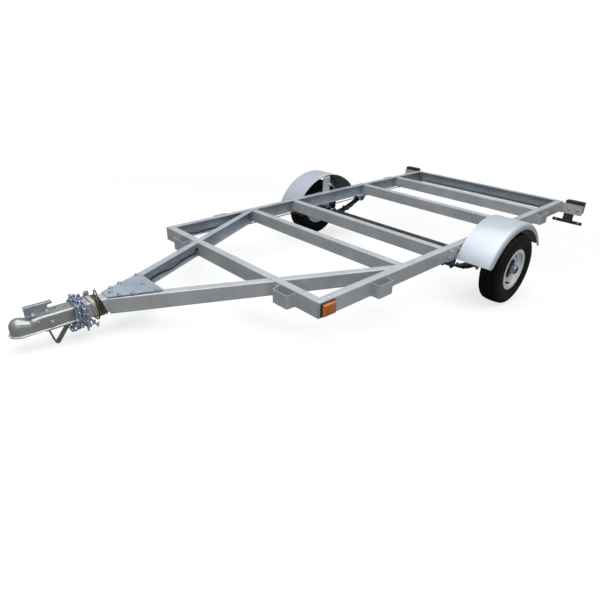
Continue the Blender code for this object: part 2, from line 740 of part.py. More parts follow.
def foot_strap(surface, root):
    """A flat bar bent to a closed V under the beam, on which the parked trailer's tongue stands."""
    top = BEAM_BOTTOM - GAP
    low = top - FOOT_HEIGHT
    outer = filleted(
        [
            (FOOT_FRONT, top, FOOT_TOP_BEND),
            (FOOT_REAR, top, FOOT_TOP_BEND),
            (FOOT_APEX, low, FOOT_BEND),
        ],
        6,
    )
    legs = foot_inner_corners(top, low)
    bends = (FOOT_INNER_BEND, FOOT_INNER_BEND, FOOT_BEND - FOOT_SHEET)
    inner = filleted([(*corner, bend) for corner, bend in zip(legs, bends)], 6)
    half = FOOT_WIDTH / 2
    node("foot_strap", tube_prism(outer, inner, -half, half, along_x), surface, root)


def foot_inner_corners(top, low):
    """The corners of the V's outline, drawn in by the strap's thickness."""
    corners = [Vector((FOOT_FRONT, top)), Vector((FOOT_REAR, top)), Vector((FOOT_APEX, low))]
    middle = sum(corners, Vector((0, 0))) / 3
    lines = []
    for first, second in zip(corners, corners[1:] + corners[:1]):
        along = (second - first).normalized()
        inward = Vector((-along.y, along.x))
        if inward.dot(middle - first) < 0:
            inward = -inward
        lines.append((first + inward * FOOT_SHEET, along))
    inside = []
    for (point, along), (other, direction) in zip(lines[-1:] + lines[:-1], lines):
        across = along.x * direction.y - along.y * direction.x
        offset = other - point
        share = (offset.x * direction.y - offset.y * direction.x) / across
        inside.append(point + along * share)
    return inside


def parked_pitch():
    """How far the nose drops until the foot strap meets the ground that the tyres stand on."""
    apex = foot_bend_centre()
    along = AXLE_STATION - apex.x
    height = AXLE_HEIGHT - apex.y
    contact = TYRE_RADIUS * math.cos(math.pi / WHEEL_SEGMENTS)
    reach = math.hypot(along, height)
    return math.asin((contact - FOOT_BEND) / reach) - math.atan2(height, along)


def foot_bend_centre():
    """The centre of the bend at the V's tip, as station and height."""
    top = BEAM_BOTTOM - GAP
    tip = Vector((FOOT_APEX, top - FOOT_HEIGHT))
    front = (Vector((FOOT_FRONT, top)) - tip).normalized()
    rear = (Vector((FOOT_REAR, top)) - tip).normalized()
    half = front.angle(rear) / 2
    return tip + (front + rear).normalized() * (FOOT_BEND / math.sin(half))


def springs(surface, root):
    """A pack of leaves under each rail, the longest rolled to an eye at both ends."""
    middle = SPRING_RADIUS
    centre = EYE_HEIGHT - SPRING_CAMBER + middle
    span = math.asin(SPRING_HALF_SPAN / middle)
    bore = EYE_BOLT_RADIUS + GAP
    end = span - (bore + EYE_OUTER_RADIUS) / 2 / middle
    inner = middle - LEAF_THICKNESS / 2
    reaches = [end * share for share in LEAF_SHARES]
    below = -math.pi / 2
    outline = arc((AXLE_STATION, centre), inner, below - reaches[0], below + reaches[0], 20)
    for level, reach in enumerate(reaches):
        radius = inner + LEAF_THICKNESS * (level + 1)
        last = level == len(reaches) - 1
        following = -reach if last else reaches[level + 1]
        steps = 10 if last else 3
        outline += arc((AXLE_STATION, centre), radius, below + reach, below + following, steps)
    for level in range(len(reaches) - 2, -1, -1):
        radius = inner + LEAF_THICKNESS * (level + 1)
        near, far = below - reaches[level + 1], below - reaches[level]
        outline += arc((AXLE_STATION, centre), radius, near, far, 3)
    half = SPRING_WIDTH / 2
    for name, side in SIDES:
        low, high = SPRING_OFFSET - half, SPRING_OFFSET + half
        leaf = node(f"leaf_spring_{name}", sided(extruded(outline, low, high, along_x), side), surface, root)
        for station in (AXLE_STATION - SPRING_HALF_SPAN, AXLE_STATION + SPRING_HALF_SPAN):
            steps = 20
            rim = arc((station, EYE_HEIGHT), EYE_OUTER_RADIUS, 0.0, math.tau * (steps - 1) / steps, steps - 1)
            hole = arc((station, EYE_HEIGHT), bore, 0.0, math.tau * (steps - 1) / steps, steps - 1)
            eye = tube_prism(rim, hole, low, high, along_x)
            shaped(leaf, sided(eye, side), "UNION")


def hangers(black, galvanised, root):
    """Brackets under the rails that hold the springs' eyes between two ears, each with its bolt."""
    half = SPRING_WIDTH / 2 + HANGER_SIDE_CLEARANCE
    top = RAIL_BOTTOM - GAP
    low = EYE_HEIGHT - HANGER_BELOW_EYE
    ends = (
        ("front", AXLE_STATION - SPRING_HALF_SPAN, FRONT_HANGER_LENGTH, black),
        ("rear", AXLE_STATION + SPRING_HALF_SPAN, REAR_HANGER_LENGTH, galvanised),
    )
    wide = half + HANGER_SHEET
    corners = [
        (-wide, low, 0.0),
        (-half, low, 0.0),
        (-half, top - HANGER_SHEET, HANGER_BEND - HANGER_SHEET),
        (half, top - HANGER_SHEET, HANGER_BEND - HANGER_SHEET),
        (half, low, 0.0),
        (wide, low, 0.0),
        (wide, top, HANGER_BEND),
        (-wide, top, HANGER_BEND),
    ]
    section = [(SPRING_OFFSET + x, z) for x, z in filleted(corners)]
    for end, station, length, surface in ends:
        toe = HANGER_TOE_LENGTH / 2
        profile = [
            (station - length / 2, top + HANGER_SHOULDER, 0.0),
            (station - length / 2, top - HANGER_SHOULDER, HANGER_BEND),
            (station - toe, low, toe * 0.6),
            (station + toe, low, toe * 0.6),
            (station + length / 2, top - HANGER_SHOULDER, HANGER_BEND),
            (station + length / 2, top + HANGER_SHOULDER, 0.0),
        ]
        for name, side in SIDES:
            bent = extruded(section, station - length, station + length, along_y)
            made = node(f"spring_hanger_{end}_{name}", sided(bent, side), surface, root)
            blank = extruded(filleted(profile), 0.0, RAIL_HALF * 2, along_x)
            shaped(made, sided(blank, side), "INTERSECT")
            shaped(made, sided(eye_bolt(station, wide), side), "UNION")


def eye_bolt(station, wide):
    """The bolt across a hanger's ears, with a six-sided head and nut, in one turned piece."""
    end = wide + EYE_BOLT_HEAD_HEIGHT
    root = wide - HANGER_SHEET / 2
    profile = [
        (-end, 0.0),
        (-end, EYE_BOLT_HEAD_RADIUS),
        (-root, EYE_BOLT_HEAD_RADIUS),
        (-root, EYE_BOLT_RADIUS),
        (root, EYE_BOLT_RADIUS),
        (root, EYE_BOLT_HEAD_RADIUS),
        (end, EYE_BOLT_HEAD_RADIUS),
        (end, 0.0),
    ]
    bolt = turned(profile, 12, closed=False)
    bmesh.ops.translate(bolt, verts=bolt.verts, vec=(SPRING_OFFSET, station, EYE_HEIGHT))
    return bolt


def axle(black, root):
    """A square beam with a turned spindle at both ends."""
    half = AXLE_SIDE / 2
    outline = box_outline(
        AXLE_STATION - half, AXLE_STATION + half, AXLE_HEIGHT - half, AXLE_HEIGHT + half, AXLE_CHAMFER, 2
    )
    beam = node("axle", extruded(outline, -AXLE_HALF_LENGTH, AXLE_HALF_LENGTH, along_x), black, root)
    profile = [
        (-SPINDLE_REACH, 0.0),
        (-SPINDLE_REACH, SPINDLE_RADIUS),
        (SPINDLE_REACH, SPINDLE_RADIUS),
        (SPINDLE_REACH, 0.0),
    ]
    spindle = turned(profile, 20, closed=False)
    bmesh.ops.translate(spindle, verts=spindle.verts, vec=(0, AXLE_STATION, AXLE_HEIGHT))
    shaped(beam, spindle, "UNION")


def axle_clamps(surface, root):
    """A plate under each spring and two U bolts over the axle that pull it down onto the leaves."""
    high = MAIN_LEAF_TOP - LEAF_PACK - GAP
    low = high - CLAMP_PLATE_THICKNESS
    across = SPRING_WIDTH / 2 + GAP + CLAMP_ROD_RADIUS
    half = AXLE_SIDE / 2 + GAP + CLAMP_ROD_RADIUS
    top = AXLE_HEIGHT + half
    wide = across + CLAMP_ROD_RADIUS + CLAMP_PLATE_MARGIN
    front, rear = AXLE_STATION - CLAMP_PLATE_HALF_LENGTH, AXLE_STATION + CLAMP_PLATE_HALF_LENGTH
    plate = box_outline(SPRING_OFFSET - wide, SPRING_OFFSET + wide, front, rear, CLAMP_PLATE_MARGIN)
    bend = CLAMP_ROD_RADIUS * 1.6
    corners = [
        (AXLE_STATION - half, low - CLAMP_ROD_END, 0.0),
        (AXLE_STATION - half, top, bend),
        (AXLE_STATION + half, top, bend),
        (AXLE_STATION + half, low - CLAMP_ROD_END, 0.0),
    ]
    path = filleted(corners)
    for name, side in SIDES:
        made = node(f"axle_clamp_{name}", sided(extruded(plate, low, high, along_z), side), surface, root)
        for offset in (SPRING_OFFSET - across, SPRING_OFFSET + across):
            rod = swept([(offset, y, z) for y, z in path], round_outline(CLAMP_ROD_RADIUS, 8))
            shaped(made, sided(rod, side), "UNION")


def tyre_profile():
    """The tyre's wall in section, as (x, radius), from bead to bead and back inside."""
    bead = SEAT_RADIUS + GAP
    inside = RIM_HALF_WIDTH - RIM_SHEET - GAP
    belly = (RIM_FLANGE_RADIUS + TYRE_RADIUS) / 2
    outer = [
        (inside, bead),
        (inside, RIM_FLANGE_RADIUS + GAP),
        (TYRE_HALF_WIDTH, belly),
        (SHOULDER_HALF_WIDTH, TYRE_RADIUS - SHOULDER_DROP),
        (TREAD_HALF_WIDTH, TYRE_RADIUS - TREAD_DROP),
        (0.0, TYRE_RADIUS),
    ]
    inner = [
        (inside - TYRE_WALL, bead),
        (TYRE_HALF_WIDTH - TYRE_WALL, belly),
        (TREAD_HALF_WIDTH - TREAD_DROP, TYRE_RADIUS - TREAD_DROP * 2 - TYRE_WALL),
    ]
    right = [(-x, radius) for x, radius in reversed(outer[:-1])]
    return outer + right + [(-x, radius) for x, radius in inner] + list(reversed(inner))


def rim_profile():
    """The pressed rim and its disc in one section, as (x, radius)."""
    edge = RIM_HALF_WIDTH
    well = SEAT_RADIUS - WELL_DEPTH
    sheet = RIM_SHEET
    barrel = [
        (edge, SEAT_RADIUS - sheet),
        (edge, RIM_FLANGE_RADIUS),
        (edge - sheet, RIM_FLANGE_RADIUS),
        (edge - sheet, SEAT_RADIUS),
        (edge - sheet - SEAT_WIDTH, SEAT_RADIUS),
        (edge - sheet - SEAT_WIDTH - WELL_SLOPE, well),
    ]
    under = [
        (edge - SEAT_WIDTH, SEAT_RADIUS - sheet),
        (edge - SEAT_WIDTH - WELL_SLOPE, well - sheet),
    ]
    hole = HUB_BARREL_RADIUS + DISC_HOLE_CLEARANCE
    crest = DISC_FACE + DISC_BULGE
    disc = [
        (DISC_FACE + sheet, well - sheet),
        (crest, well - DISC_CREST_DROP),
        (DISC_FACE, DISC_FACE_RADIUS),
        (DISC_FACE, hole),
    ]
    front = [(x + sheet, radius) for x, radius in reversed(disc)]
    far = [(-x, radius) for x, radius in reversed(barrel)] + [(-x, radius) for x, radius in under]
    return barrel + far + disc + front + list(reversed(under))


def hub_profile():
    """The hub with its flange, barrel and dust cap, bored blind for the spindle."""
    bore = SPINDLE_RADIUS + BEARING_CLEARANCE
    face = DISC_FACE - GAP
    back = face - HUB_FLANGE_THICKNESS
    end = HUB_OUTER - HUB_CAP_LENGTH
    return [
        (HUB_OUTER - BORE_END, 0.0),
        (HUB_OUTER - BORE_END, bore),
        (HUB_INNER, bore),
        (HUB_INNER, HUB_BARREL_RADIUS),
        (back - HUB_ROOT, HUB_BARREL_RADIUS),
        (back, HUB_FLANGE_RADIUS),
        (face, HUB_FLANGE_RADIUS),
        (face, HUB_BARREL_RADIUS),
        (end, HUB_BARREL_RADIUS),
        (end, HUB_CAP_RADIUS),
        (HUB_OUTER - HUB_CAP_CORNER, HUB_CAP_RADIUS),
        (HUB_OUTER, HUB_CAP_RADIUS - HUB_CAP_CORNER),
        (HUB_OUTER, 0.0),
    ]


def wheels(finish, root, pitch):
    """A tyre, a rim and a hub a side, each with its origin on the axle's line."""
    half_step = math.pi / WHEEL_SEGMENTS
    for name, side in SIDES:
        hinge = bpy.data.objects.new(f"wheel_{name}_axis", None)
        bpy.context.scene.collection.objects.link(hinge)
        hinge.parent = root
        hinge.location = (side * WHEEL_OFFSET, AXLE_STATION, AXLE_HEIGHT)
        hinge.rotation_euler.x = -pitch
        tyre = turned(tyre_profile(), WHEEL_SEGMENTS, phase=half_step)
        node(f"tyre_{name}", sided(tyre, side), finish["rubber"], hinge, 40.0)
        rim = turned(rim_profile(), WHEEL_SEGMENTS, phase=half_step)
        node(f"rim_{name}", sided(rim, side), finish["rim_paint"], hinge, 40.0)
        hub = turned(hub_profile(), 20, closed=False)
        node(f"hub_{name}", sided(hub, side), finish["zinc"], hinge, 40.0)


def fenders(steel, galvanised, root):
    """A half-round sheet over each wheel with a rolled outer edge, and the strap that carries it."""
    low, high = FENDER_INNER, FENDER_INNER + FENDER_WIDTH
    sheet = FENDER_SHEET
    crown = FENDER_RADIUS
    shoulder = FENDER_SHOULDER
    outer = [(low, crown)] + arc((high - shoulder, crown - shoulder), shoulder, math.pi / 2, 0.0, 5)
    outer += [(high, crown - shoulder - FENDER_LIP)]
    inner = [(high - sheet, crown - shoulder - FENDER_LIP)]
    inner += arc((high - shoulder, crown - shoulder), shoulder - sheet, 0.0, math.pi / 2, 5)
    inner += [(low, crown - sheet)]
    section = outer + inner
    for name, side in SIDES:
        rings = []
        for step in range(FENDER_STEPS + 1):
            angle = FENDER_END_ANGLE + (math.pi - 2 * FENDER_END_ANGLE) * step / FENDER_STEPS
            y, z = math.cos(angle), math.sin(angle)
            rings.append(
                [Vector((x, AXLE_STATION - radius * y, FENDER_CENTRE + radius * z)) for x, radius in section]
            )
        node(f"fender_{name}", sided(lofted(rings), side), steel, root, 40.0)
        node(f"fender_stay_{name}", sided(fender_stay(), side), galvanised, root)


def fender_stay():
    """A strap up from the rail's plate and out under the fender's crown."""
    half = STAY_WIDTH / 2
    rise = math.sqrt((FENDER_RADIUS - FENDER_SHEET) ** 2 - (STAY_FORWARD + half) ** 2)
    under = FENDER_CENTRE + rise * math.cos((math.pi / 2 - FENDER_END_ANGLE) / FENDER_STEPS) - GAP
    near = SPLICE_FACE + GAP
    far = FENDER_INNER + FENDER_WIDTH - FENDER_SHOULDER
    corners = [
        (near, -STAY_FOOT, 0.0),
        (near + STAY_THICKNESS, -STAY_FOOT, 0.0),
        (near + STAY_THICKNESS, under - STAY_THICKNESS, STAY_BEND - STAY_THICKNESS),
        (far, under - STAY_THICKNESS, 0.0),
        (far, under, 0.0),
        (near, under, STAY_BEND),
    ]
    middle = AXLE_STATION - STAY_FORWARD
    return extruded(filleted(corners), middle - half, middle + half, along_y)


def tail_lamps(finish, root):
    """A plate out from each rear corner with a lamp behind it."""
    for name, side in SIDES:
        inner = RAIL_HALF - LAMP_LAP
        outer = RAIL_HALF + LAMP_PLATE_REACH
        top = -LAMP_PLATE_DROP
        plate = box_outline(inner, outer, top - LAMP_PLATE_HEIGHT, top, LAMP_PLATE_CORNER)
        front = BED_LENGTH + GAP
        rear = front + LAMP_PLATE_THICKNESS
        bracket = extruded(plate, front, rear, along_y)
        node(f"lamp_bracket_{name}", sided(bracket, side), finish["galvanised"], root)
        edge = outer - LAMP_END_INSET
        raised = top + LAMP_ABOVE_PLATE
        case = box_outline(edge - LAMP_WIDTH, edge, raised - LAMP_HEIGHT, raised, LAMP_CORNER)
        housing = extruded(case, rear + GAP, rear + GAP + LAMP_DEPTH, along_y)
        node(f"lamp_housing_{name}", sided(housing, side), finish["black_plastic"], root)
        pane = box_outline(
            edge - LAMP_WIDTH + LENS_BORDER,
            edge - LENS_BORDER,
            raised - LAMP_HEIGHT + LENS_BORDER,
            raised - LENS_BORDER,
            LENS_CORNER,
        )
        face = rear + GAP + LAMP_DEPTH + GAP
        lens = extruded(pane, face, face + LENS_DEPTH, along_y)
        node(f"lamp_lens_{name}", sided(lens, side), finish["red"], root)


def plate_holder(finish, root):
    """The black bar for a number plate, hung from the left lamp's bracket on a stem."""
    middle = RAIL_HALF + PLATE_OFFSET
    front = BED_LENGTH + GAP + LAMP_PLATE_THICKNESS + GAP
    rear = front + PLATE_SHEET
    bar_top = RAIL_BOTTOM - PLATE_BAR_DROP + PLATE_BAR_HEIGHT
    bar_low = bar_top - PLATE_BAR_HEIGHT
    half = PLATE_BAR_LENGTH / 2
    stem = PLATE_STEM_WIDTH / 2
    top = LAMP_ABOVE_PLATE - LAMP_PLATE_DROP - LAMP_HEIGHT - GAP * 2
    corners = [
        (middle - half, bar_low, PLATE_CORNER),
        (middle + half, bar_low, PLATE_CORNER),
        (middle + half, bar_top, PLATE_CORNER),
        (middle + stem, bar_top, PLATE_STEM_CORNER),
        (middle + stem, top, PLATE_TOP_CORNER),
        (middle - stem, top, PLATE_TOP_CORNER),
        (middle - stem, bar_top, PLATE_STEM_CORNER),
        (middle - half, bar_top, PLATE_CORNER),
    ]
    made = node("plate_holder", extruded(filleted(corners), front, rear, along_y), finish["black_paint"], root)
    centre = (bar_top + bar_low) / 2
    for offset in (PLATE_SLOT_INSET - half, half - PLATE_SLOT_INSET):
        low, high = middle + offset - PLATE_SLOT_LENGTH / 2, middle + offset + PLATE_SLOT_LENGTH / 2
        slot = box_outline(
            low, high, centre - PLATE_SLOT_WIDTH / 2, centre + PLATE_SLOT_WIDTH / 2, PLATE_SLOT_WIDTH * 0.45
        )
        shaped(made, extruded(slot, front - 0.01, rear + 0.01, along_y), "DIFFERENCE")


def side_markers(finish, root):
    """An amber lens on a raised base on both rails, just behind the front corners."""
    top = -MARKER_DROP
    inside = RAIL_HALF + GAP
    face = inside + MARKER_BASE
    for name, side in SIDES:
        rings = []
        for out, inset in (
            (inside, 0.0),
            (face, 0.0),
            (face, MARKER_RIM),
            (face + MARKER_LENS * 0.6, MARKER_RIM),
            (face + MARKER_LENS, MARKER_RIM * 2),
        ):
            outline = box_outline(
                MARKER_FRONT + inset,
                MARKER_FRONT + MARKER_LENGTH - inset,
                top - MARKER_HEIGHT + inset,
                top - inset,
                0.005,
            )
            rings.append([Vector((out, a, b)) for a, b in outline])
        node(f"side_marker_{name}", sided(lofted(rings), side), finish["amber"], root)


def chain_route():
    """Closely set points along the winding, which runs back along the coupler and returns over itself."""
    low = BEAM_BOTTOM - GAP - LINK_REACH - CHAIN_SLACK
    high = COUPLER_TOP + CHAIN_TOP_SLACK + LINK_REACH
    wide = COUPLER_HALF + COUPLER_LIP + LINK_REACH + CHAIN_SLACK
    power = 2.0 / CHAIN_SQUARENESS
    points = []
    steps = round(CHAIN_TURNS * 180)
    for step in range(steps + 1):
        turns = CHAIN_TURNS * step / steps
        back = max(0.0, turns - CHAIN_FIRST_TURNS)
        climb = min(1.0, back / CHAIN_CLIMB_TURNS)
        grown = CHAIN_LAYER * climb * climb * (3 - 2 * climb)
        angle = CHAIN_START + math.tau * turns
        sine, cosine = math.sin(angle), math.cos(angle)
        x = math.copysign(abs(cosine) ** power, cosine) * (wide + grown)
        z = (high + low) / 2 + math.copysign(abs(sine) ** power, sine) * ((high - low) / 2 + grown)
        ahead = min(turns, CHAIN_FIRST_TURNS)
        points.append(Vector((x, CHAIN_FRONT + ahead * CHAIN_TURN_PITCH - back * CHAIN_RETURN_PITCH, z)))
    return points


def chain_joints():
    """Where each link of the winding meets the next, a link's pitch apart."""
    pitch = LINK_INNER_LENGTH + LINK_PRESS
    points = chain_route()
    joints = [points[0]]
    for point in points:
        if (point - joints[-1]).length >= pitch:
            joints.append(joints[-1] + (point - joints[-1]).normalized() * pitch)
    return joints


def chain_link(mesh, first, second, outward, lean):
    """Adds an oval of round wire that reaches past both joints by the wire's own radius."""
    ahead = (second - first).normalized()
    side = (outward - ahead * outward.dot(ahead)).normalized()
    side.rotate(Matrix.Rotation(lean, 3, ahead))
    normal = ahead.cross(side)
    half = LINK_INNER_LENGTH / 2 + LINK_WIRE_RADIUS
    wide = LINK_HALF_WIDTH
    oval = [(half - wide * 0.6, wide), (half, wide * 0.42), (half, -wide * 0.42), (half - wide * 0.6, -wide)]
    oval += [(-a, -b) for a, b in oval]
    middle = (first + second) / 2
    path = [middle + ahead * a + side * b for a, b in oval]
    turn = math.tau / LINK_SIDES
    start = math.pi / 2
    outline = arc((0.0, 0.0), LINK_WIRE_RADIUS, start, start + turn * (LINK_SIDES - 1), LINK_SIDES - 1)
    link = swept(path, outline, True, normal)
    holder = bpy.data.meshes.new("link")
    link.to_mesh(holder)
    link.free()
    mesh.from_mesh(holder)
    bpy.data.meshes.remove(holder)


def safety_chains(finish, root):
    """The chain wound round the coupler's tail, every link pressed to the next, and its two hooks."""
    joints = chain_joints()
    middle = Vector((0.0, 0.0, (COUPLER_TOP + BEAM_BOTTOM) / 2))
    even, odd = bmesh.new(), bmesh.new()
    for index, (first, second) in enumerate(zip(joints, joints[1:])):
        outward = (first + second) / 2 - middle
        outward.y = 0.0
        lean = LINK_LEAN if index % 2 else -LINK_LEAN
        chain_link(odd if index % 2 else even, first, second, outward, lean)
    made = node("safety_chains", even, finish["zinc"], root, 60.0)
    shaped(made, odd, "UNION")
    for (name, side), turn, lift in zip(SIDES, HOOK_TURNS, HOOK_LIFTS):
        node(f"chain_hook_{name}", chain_hook(side, turn, lift), finish["zinc"], root, 60.0)


def chain_hook(side, turn, lift):
    """A bent rod hook that hangs from the winding, its mouth towards the trailer."""
    about = Matrix.Translation((HOOK_SIDE_OFFSET * side, HOOK_STATION + HOOK_RADIUS, 0.0))
    about = about @ Matrix.Rotation(turn, 4, "Z")
    eye = about @ Vector((0.0, -HOOK_RADIUS, 0.0))
    near = [point.z for point in chain_joints() if (point - eye).xy.length < LINK_INNER_LENGTH]
    top = min(near) - LINK_REACH - GAP + lift
    low = top - HOOK_SHANK
    bend = [(-HOOK_RADIUS, top), (-HOOK_RADIUS, low)]
    bend += arc((0.0, low), HOOK_RADIUS, math.pi, math.tau, 9)[1:]
    bend += [(HOOK_RADIUS + HOOK_TIP * 0.3, low + HOOK_TIP)]
    hook = swept([(0.0, y, z) for y, z in bend], round_outline(HOOK_ROD_RADIUS, 8))
    bmesh.ops.transform(hook, verts=hook.verts, matrix=about)
    return hook


def smooth_through(points, spacing):
    """Points about as far apart as the spacing on a smooth curve through the given ones."""
    spots = [Vector(point) for point in points]
    spots = [spots[0] * 2 - spots[1]] + spots + [spots[-1] * 2 - spots[-2]]
    path = [spots[1]]
    for before, here, ahead, beyond in zip(spots, spots[1:], spots[2:], spots[3:]):
        steps = max(1, round((ahead - here).length / spacing))
        for step in range(1, steps + 1):
            t = step / steps
            bent = here + (ahead - before) * (t / 2)
            bent += (before * 2 - here * 5 + ahead * 4 - beyond) * (t * t / 2)
            bent += (here * 3 - before - ahead * 3 + beyond) * (t * t * t / 2)
            path.append(bent)
    return path


def lead(finish, root):
    """The lamp lead: its winding on the beam, the free loop that ends in a flat plug, and the grommet."""
    half = BEAM_HALF + GAP
    inner = box_outline(-half, half, BEAM_BOTTOM - GAP, GAP, BEAM_CORNER, 4)
    outer = box_outline(
        -COIL_SIDE, COIL_SIDE, BEAM_BOTTOM - COIL_TOP, COIL_TOP, BEAM_CORNER + COIL_THICKNESS, 4
    )
    node("lead_coil", tube_prism(outer, inner, LEAD_FRONT, LEAD_REAR, along_y), finish["wire"], root)
    start = COIL_TOP + GAP
    path = smooth_through([(x, y, start + z) for x, y, z in TAIL_POINTS], TAIL_SPACING)
    curve = bpy.data.curves.new("lead_tail", "CURVE")
    curve.dimensions = "3D"
    curve.bevel_depth = LEAD_RADIUS
    curve.bevel_resolution = 2
    curve.use_fill_caps = True
    line = curve.splines.new("POLY")
    line.points.add(len(path) - 1)
    for place, spot in zip(line.points, path):
        place.co = (*spot, 1.0)
    curve.materials.append(finish["wire"])
    tail = bpy.data.objects.new("lead_tail", curve)
    bpy.context.scene.collection.objects.link(tail)
    tail.parent = root
    x, y, z = path[-1]
    wide, thick = PLUG_WIDTH / 2, PLUG_THICKNESS / 2
    outline = box_outline(x - thick, x + thick, y - wide, y + wide, PLUG_CORNER)
    plug = extruded(outline, z + GAP, z + GAP + PLUG_LENGTH, along_z)
    node("lead_plug", plug, finish["black_plastic"], root)
    low = BEAM_BOTTOM - GAP
    ring = round_outline(GROMMET_RADIUS, 16)
    station = LEAD_REAR + GAP + GROMMET_RADIUS
    grommet = extruded([(a, station + b) for a, b in ring], low - GROMMET_HEIGHT, low, along_z)
    node("lead_grommet", grommet, finish["black_plastic"], root)


def harness_front():
    """The wires' way from the beam's open end along a bar into the side rail, drawn for the left."""
    lift = HARNESS_SLACK + HARNESS_RADIUS
    beam_floor = BEAM_BOTTOM + BEAM_WALL + lift
    bar_floor = NESTED_BOTTOM + RAIL_WALL + lift
    web = -RAIL_WALL - lift - HARNESS_SLACK
    wave = HARNESS_WAVE
    points = [(wave * 2, HARNESS_FRONT, beam_floor), (wave * 2, BEAM_REAR, beam_floor)]
    edge = along_tongue(-RAIL_FLANGE, bar_floor, BEAM_REAR)
    points.append((edge.x * 0.6, BEAM_REAR + 0.016, (beam_floor + bar_floor) / 2))
    points.append(edge)
    for station, inward, rise in (
        (-0.375, 0.35, 0.8),
        (-0.295, 0.25, 0.6),
        (-0.220, 2.0, 0.0),
        (-0.130, 0.0, 0.0),
        (-0.060, 0.8, 0.3),
        (-0.012, 2.2, 0.6),
    ):
        points.append(along_tongue(web - wave * inward, bar_floor + wave * rise, station))
    hole = harness_hole_height()
    points.append(along_tongue(-RAIL_WALL / 2, hole, HARNESS_HOLE_STATION / math.cos(TONGUE_ANGLE)))
    return points


def harness_hole_height():
    """How high the wires pass through the bar's web."""
    return NESTED_BOTTOM + RAIL_WALL + HARNESS_HOLE_RADIUS


def harness_rear():
    """The wires' way from the bar's web through the side rail and under the crossmembers to the lamp."""
    lift = HARNESS_SLACK + HARNESS_RADIUS
    floor = RAIL_BOTTOM + RAIL_WALL + lift
    under = NESTED_BOTTOM - lift
    wall = RAIL_HALF - RAIL_WALL - lift
    along = RAIL_FLANGE / 2
    start = TONGUE_HALF_SPREAD + HARNESS_CORNER
    clear = RAIL_HALF - HARNESS_INSET
    wave = HARNESS_WAVE
    last = CROSSMEMBERS[-1] + CROSSMEMBER_FLANGE
    end = (RAIL_BOTTOM + floor) * 0.33
    return [
        (start - HARNESS_CORNER * 0.35, along + 0.008, floor + wave),
        (start, along + 0.004, floor + wave * 0.3),
        (start + HARNESS_CORNER, along, floor),
        (RAIL_HALF - HARNESS_CORNER * 1.6, along, floor),
        (RAIL_HALF - HARNESS_CORNER * 0.5, along + 0.012, floor),
        (wall - 0.001, HARNESS_CORNER * 1.7, floor),
        (wall - wave, HARNESS_TURN * 0.28, floor + wave),
        (wall - wave * 2, HARNESS_TURN * 0.40, floor + 0.001),
        (wall - wave * 2, HARNESS_TURN * 0.48, floor),
        (wall - 0.001, HARNESS_TURN * 0.66, floor),
        (wall - wave, HARNESS_TURN * 0.86, floor),
        (wall - wave * 4, HARNESS_TURN * 0.94, floor + 0.001),
        (clear + wave, HARNESS_TURN, floor),
        (clear, HARNESS_TURN + 0.030, under + 0.001),
        (clear, CROSSMEMBERS[0] - CROSSMEMBER_FLANGE, under),
        (clear, CROSSMEMBERS[1], under),
        (clear, (CROSSMEMBERS[1] + CROSSMEMBERS[2]) / 2, under - wave),
        (clear, CROSSMEMBERS[2], under),
        (clear, last, under),
        (clear, last + 0.060, under - 0.001),
        (clear, BED_LENGTH - 0.085, under + 0.001),
        (clear + 0.002, BED_LENGTH - RAIL_FLANGE, floor + 0.003),
        (clear + 0.012, BED_LENGTH - RAIL_FLANGE * 0.66, floor + 0.012),
        (clear + HARNESS_END_SHIFT, BED_LENGTH - 0.014, end),
        (clear + HARNESS_END_SHIFT, BED_LENGTH - RAIL_WALL - GAP, end),
    ]


def harness_branch():
    """The second bundle, beside the main one at the last crossmember and then across to the other lamp."""
    lift = HARNESS_SLACK + HARNESS_RADIUS
    floor = RAIL_BOTTOM + RAIL_WALL + lift
    under = NESTED_BOTTOM - lift
    clear = RAIL_HALF - HARNESS_INSET
    beside = clear - 2 * HARNESS_RADIUS - GAP
    along = BED_LENGTH - RAIL_FLANGE / 2
    last = CROSSMEMBERS[-1] + CROSSMEMBER_FLANGE
    end = (RAIL_BOTTOM + floor) * 0.33
    return [
        (beside, CROSSMEMBERS[-1], under),
        (beside, last, under),
        (beside, last + 0.060, under - 0.001),
        (beside - 0.002, BED_LENGTH - 0.085, under + 0.001),
        (beside - 0.008, BED_LENGTH - RAIL_FLANGE - 0.006, floor + 0.002),
        (beside - 0.034, along, floor + 0.001),
        (beside - 0.080, along, floor),
        (0.0, along + 0.004, floor),
        (-clear + 0.090, along, floor),
        (-clear + 0.030, along, floor + 0.001),
        (-clear - 0.006, along - 0.002, floor + 0.010),
        (-clear - HARNESS_END_SHIFT, BED_LENGTH - 0.014, end),
        (-clear - HARNESS_END_SHIFT, BED_LENGTH - RAIL_WALL - GAP, end),
    ]


def wiring(finish, root):
    """The wires to the lamps, held inside the frame all the way, and the hole they take in a bar."""
    section = round_outline(HARNESS_RADIUS, 5)
    up = Vector((0.2, 0.1, 1.0)).normalized()
    main = smooth_through(harness_front() + harness_rear(), HARNESS_SPACING)
    node("harness_main", mirrored(swept(main, section, up=up)), finish["rubber"], root, 60.0)
    branch = smooth_through(harness_branch(), HARNESS_SPACING)
    node("harness_branch", mirrored(swept(branch, section, up=up)), finish["rubber"], root, 60.0)
    station = HARNESS_HOLE_STATION / math.cos(TONGUE_ANGLE)
    ring = round_outline(HARNESS_HOLE_RADIUS, 12)
    reach = RAIL_WALL * 2
    rings = []
    for across in (-reach, reach):
        rings.append([along_tongue(across, harness_hole_height() + b, station + a) for a, b in ring])
    shaped(bpy.data.objects["tongue_bar_right"], mirrored(lofted(rings)), "DIFFERENCE")


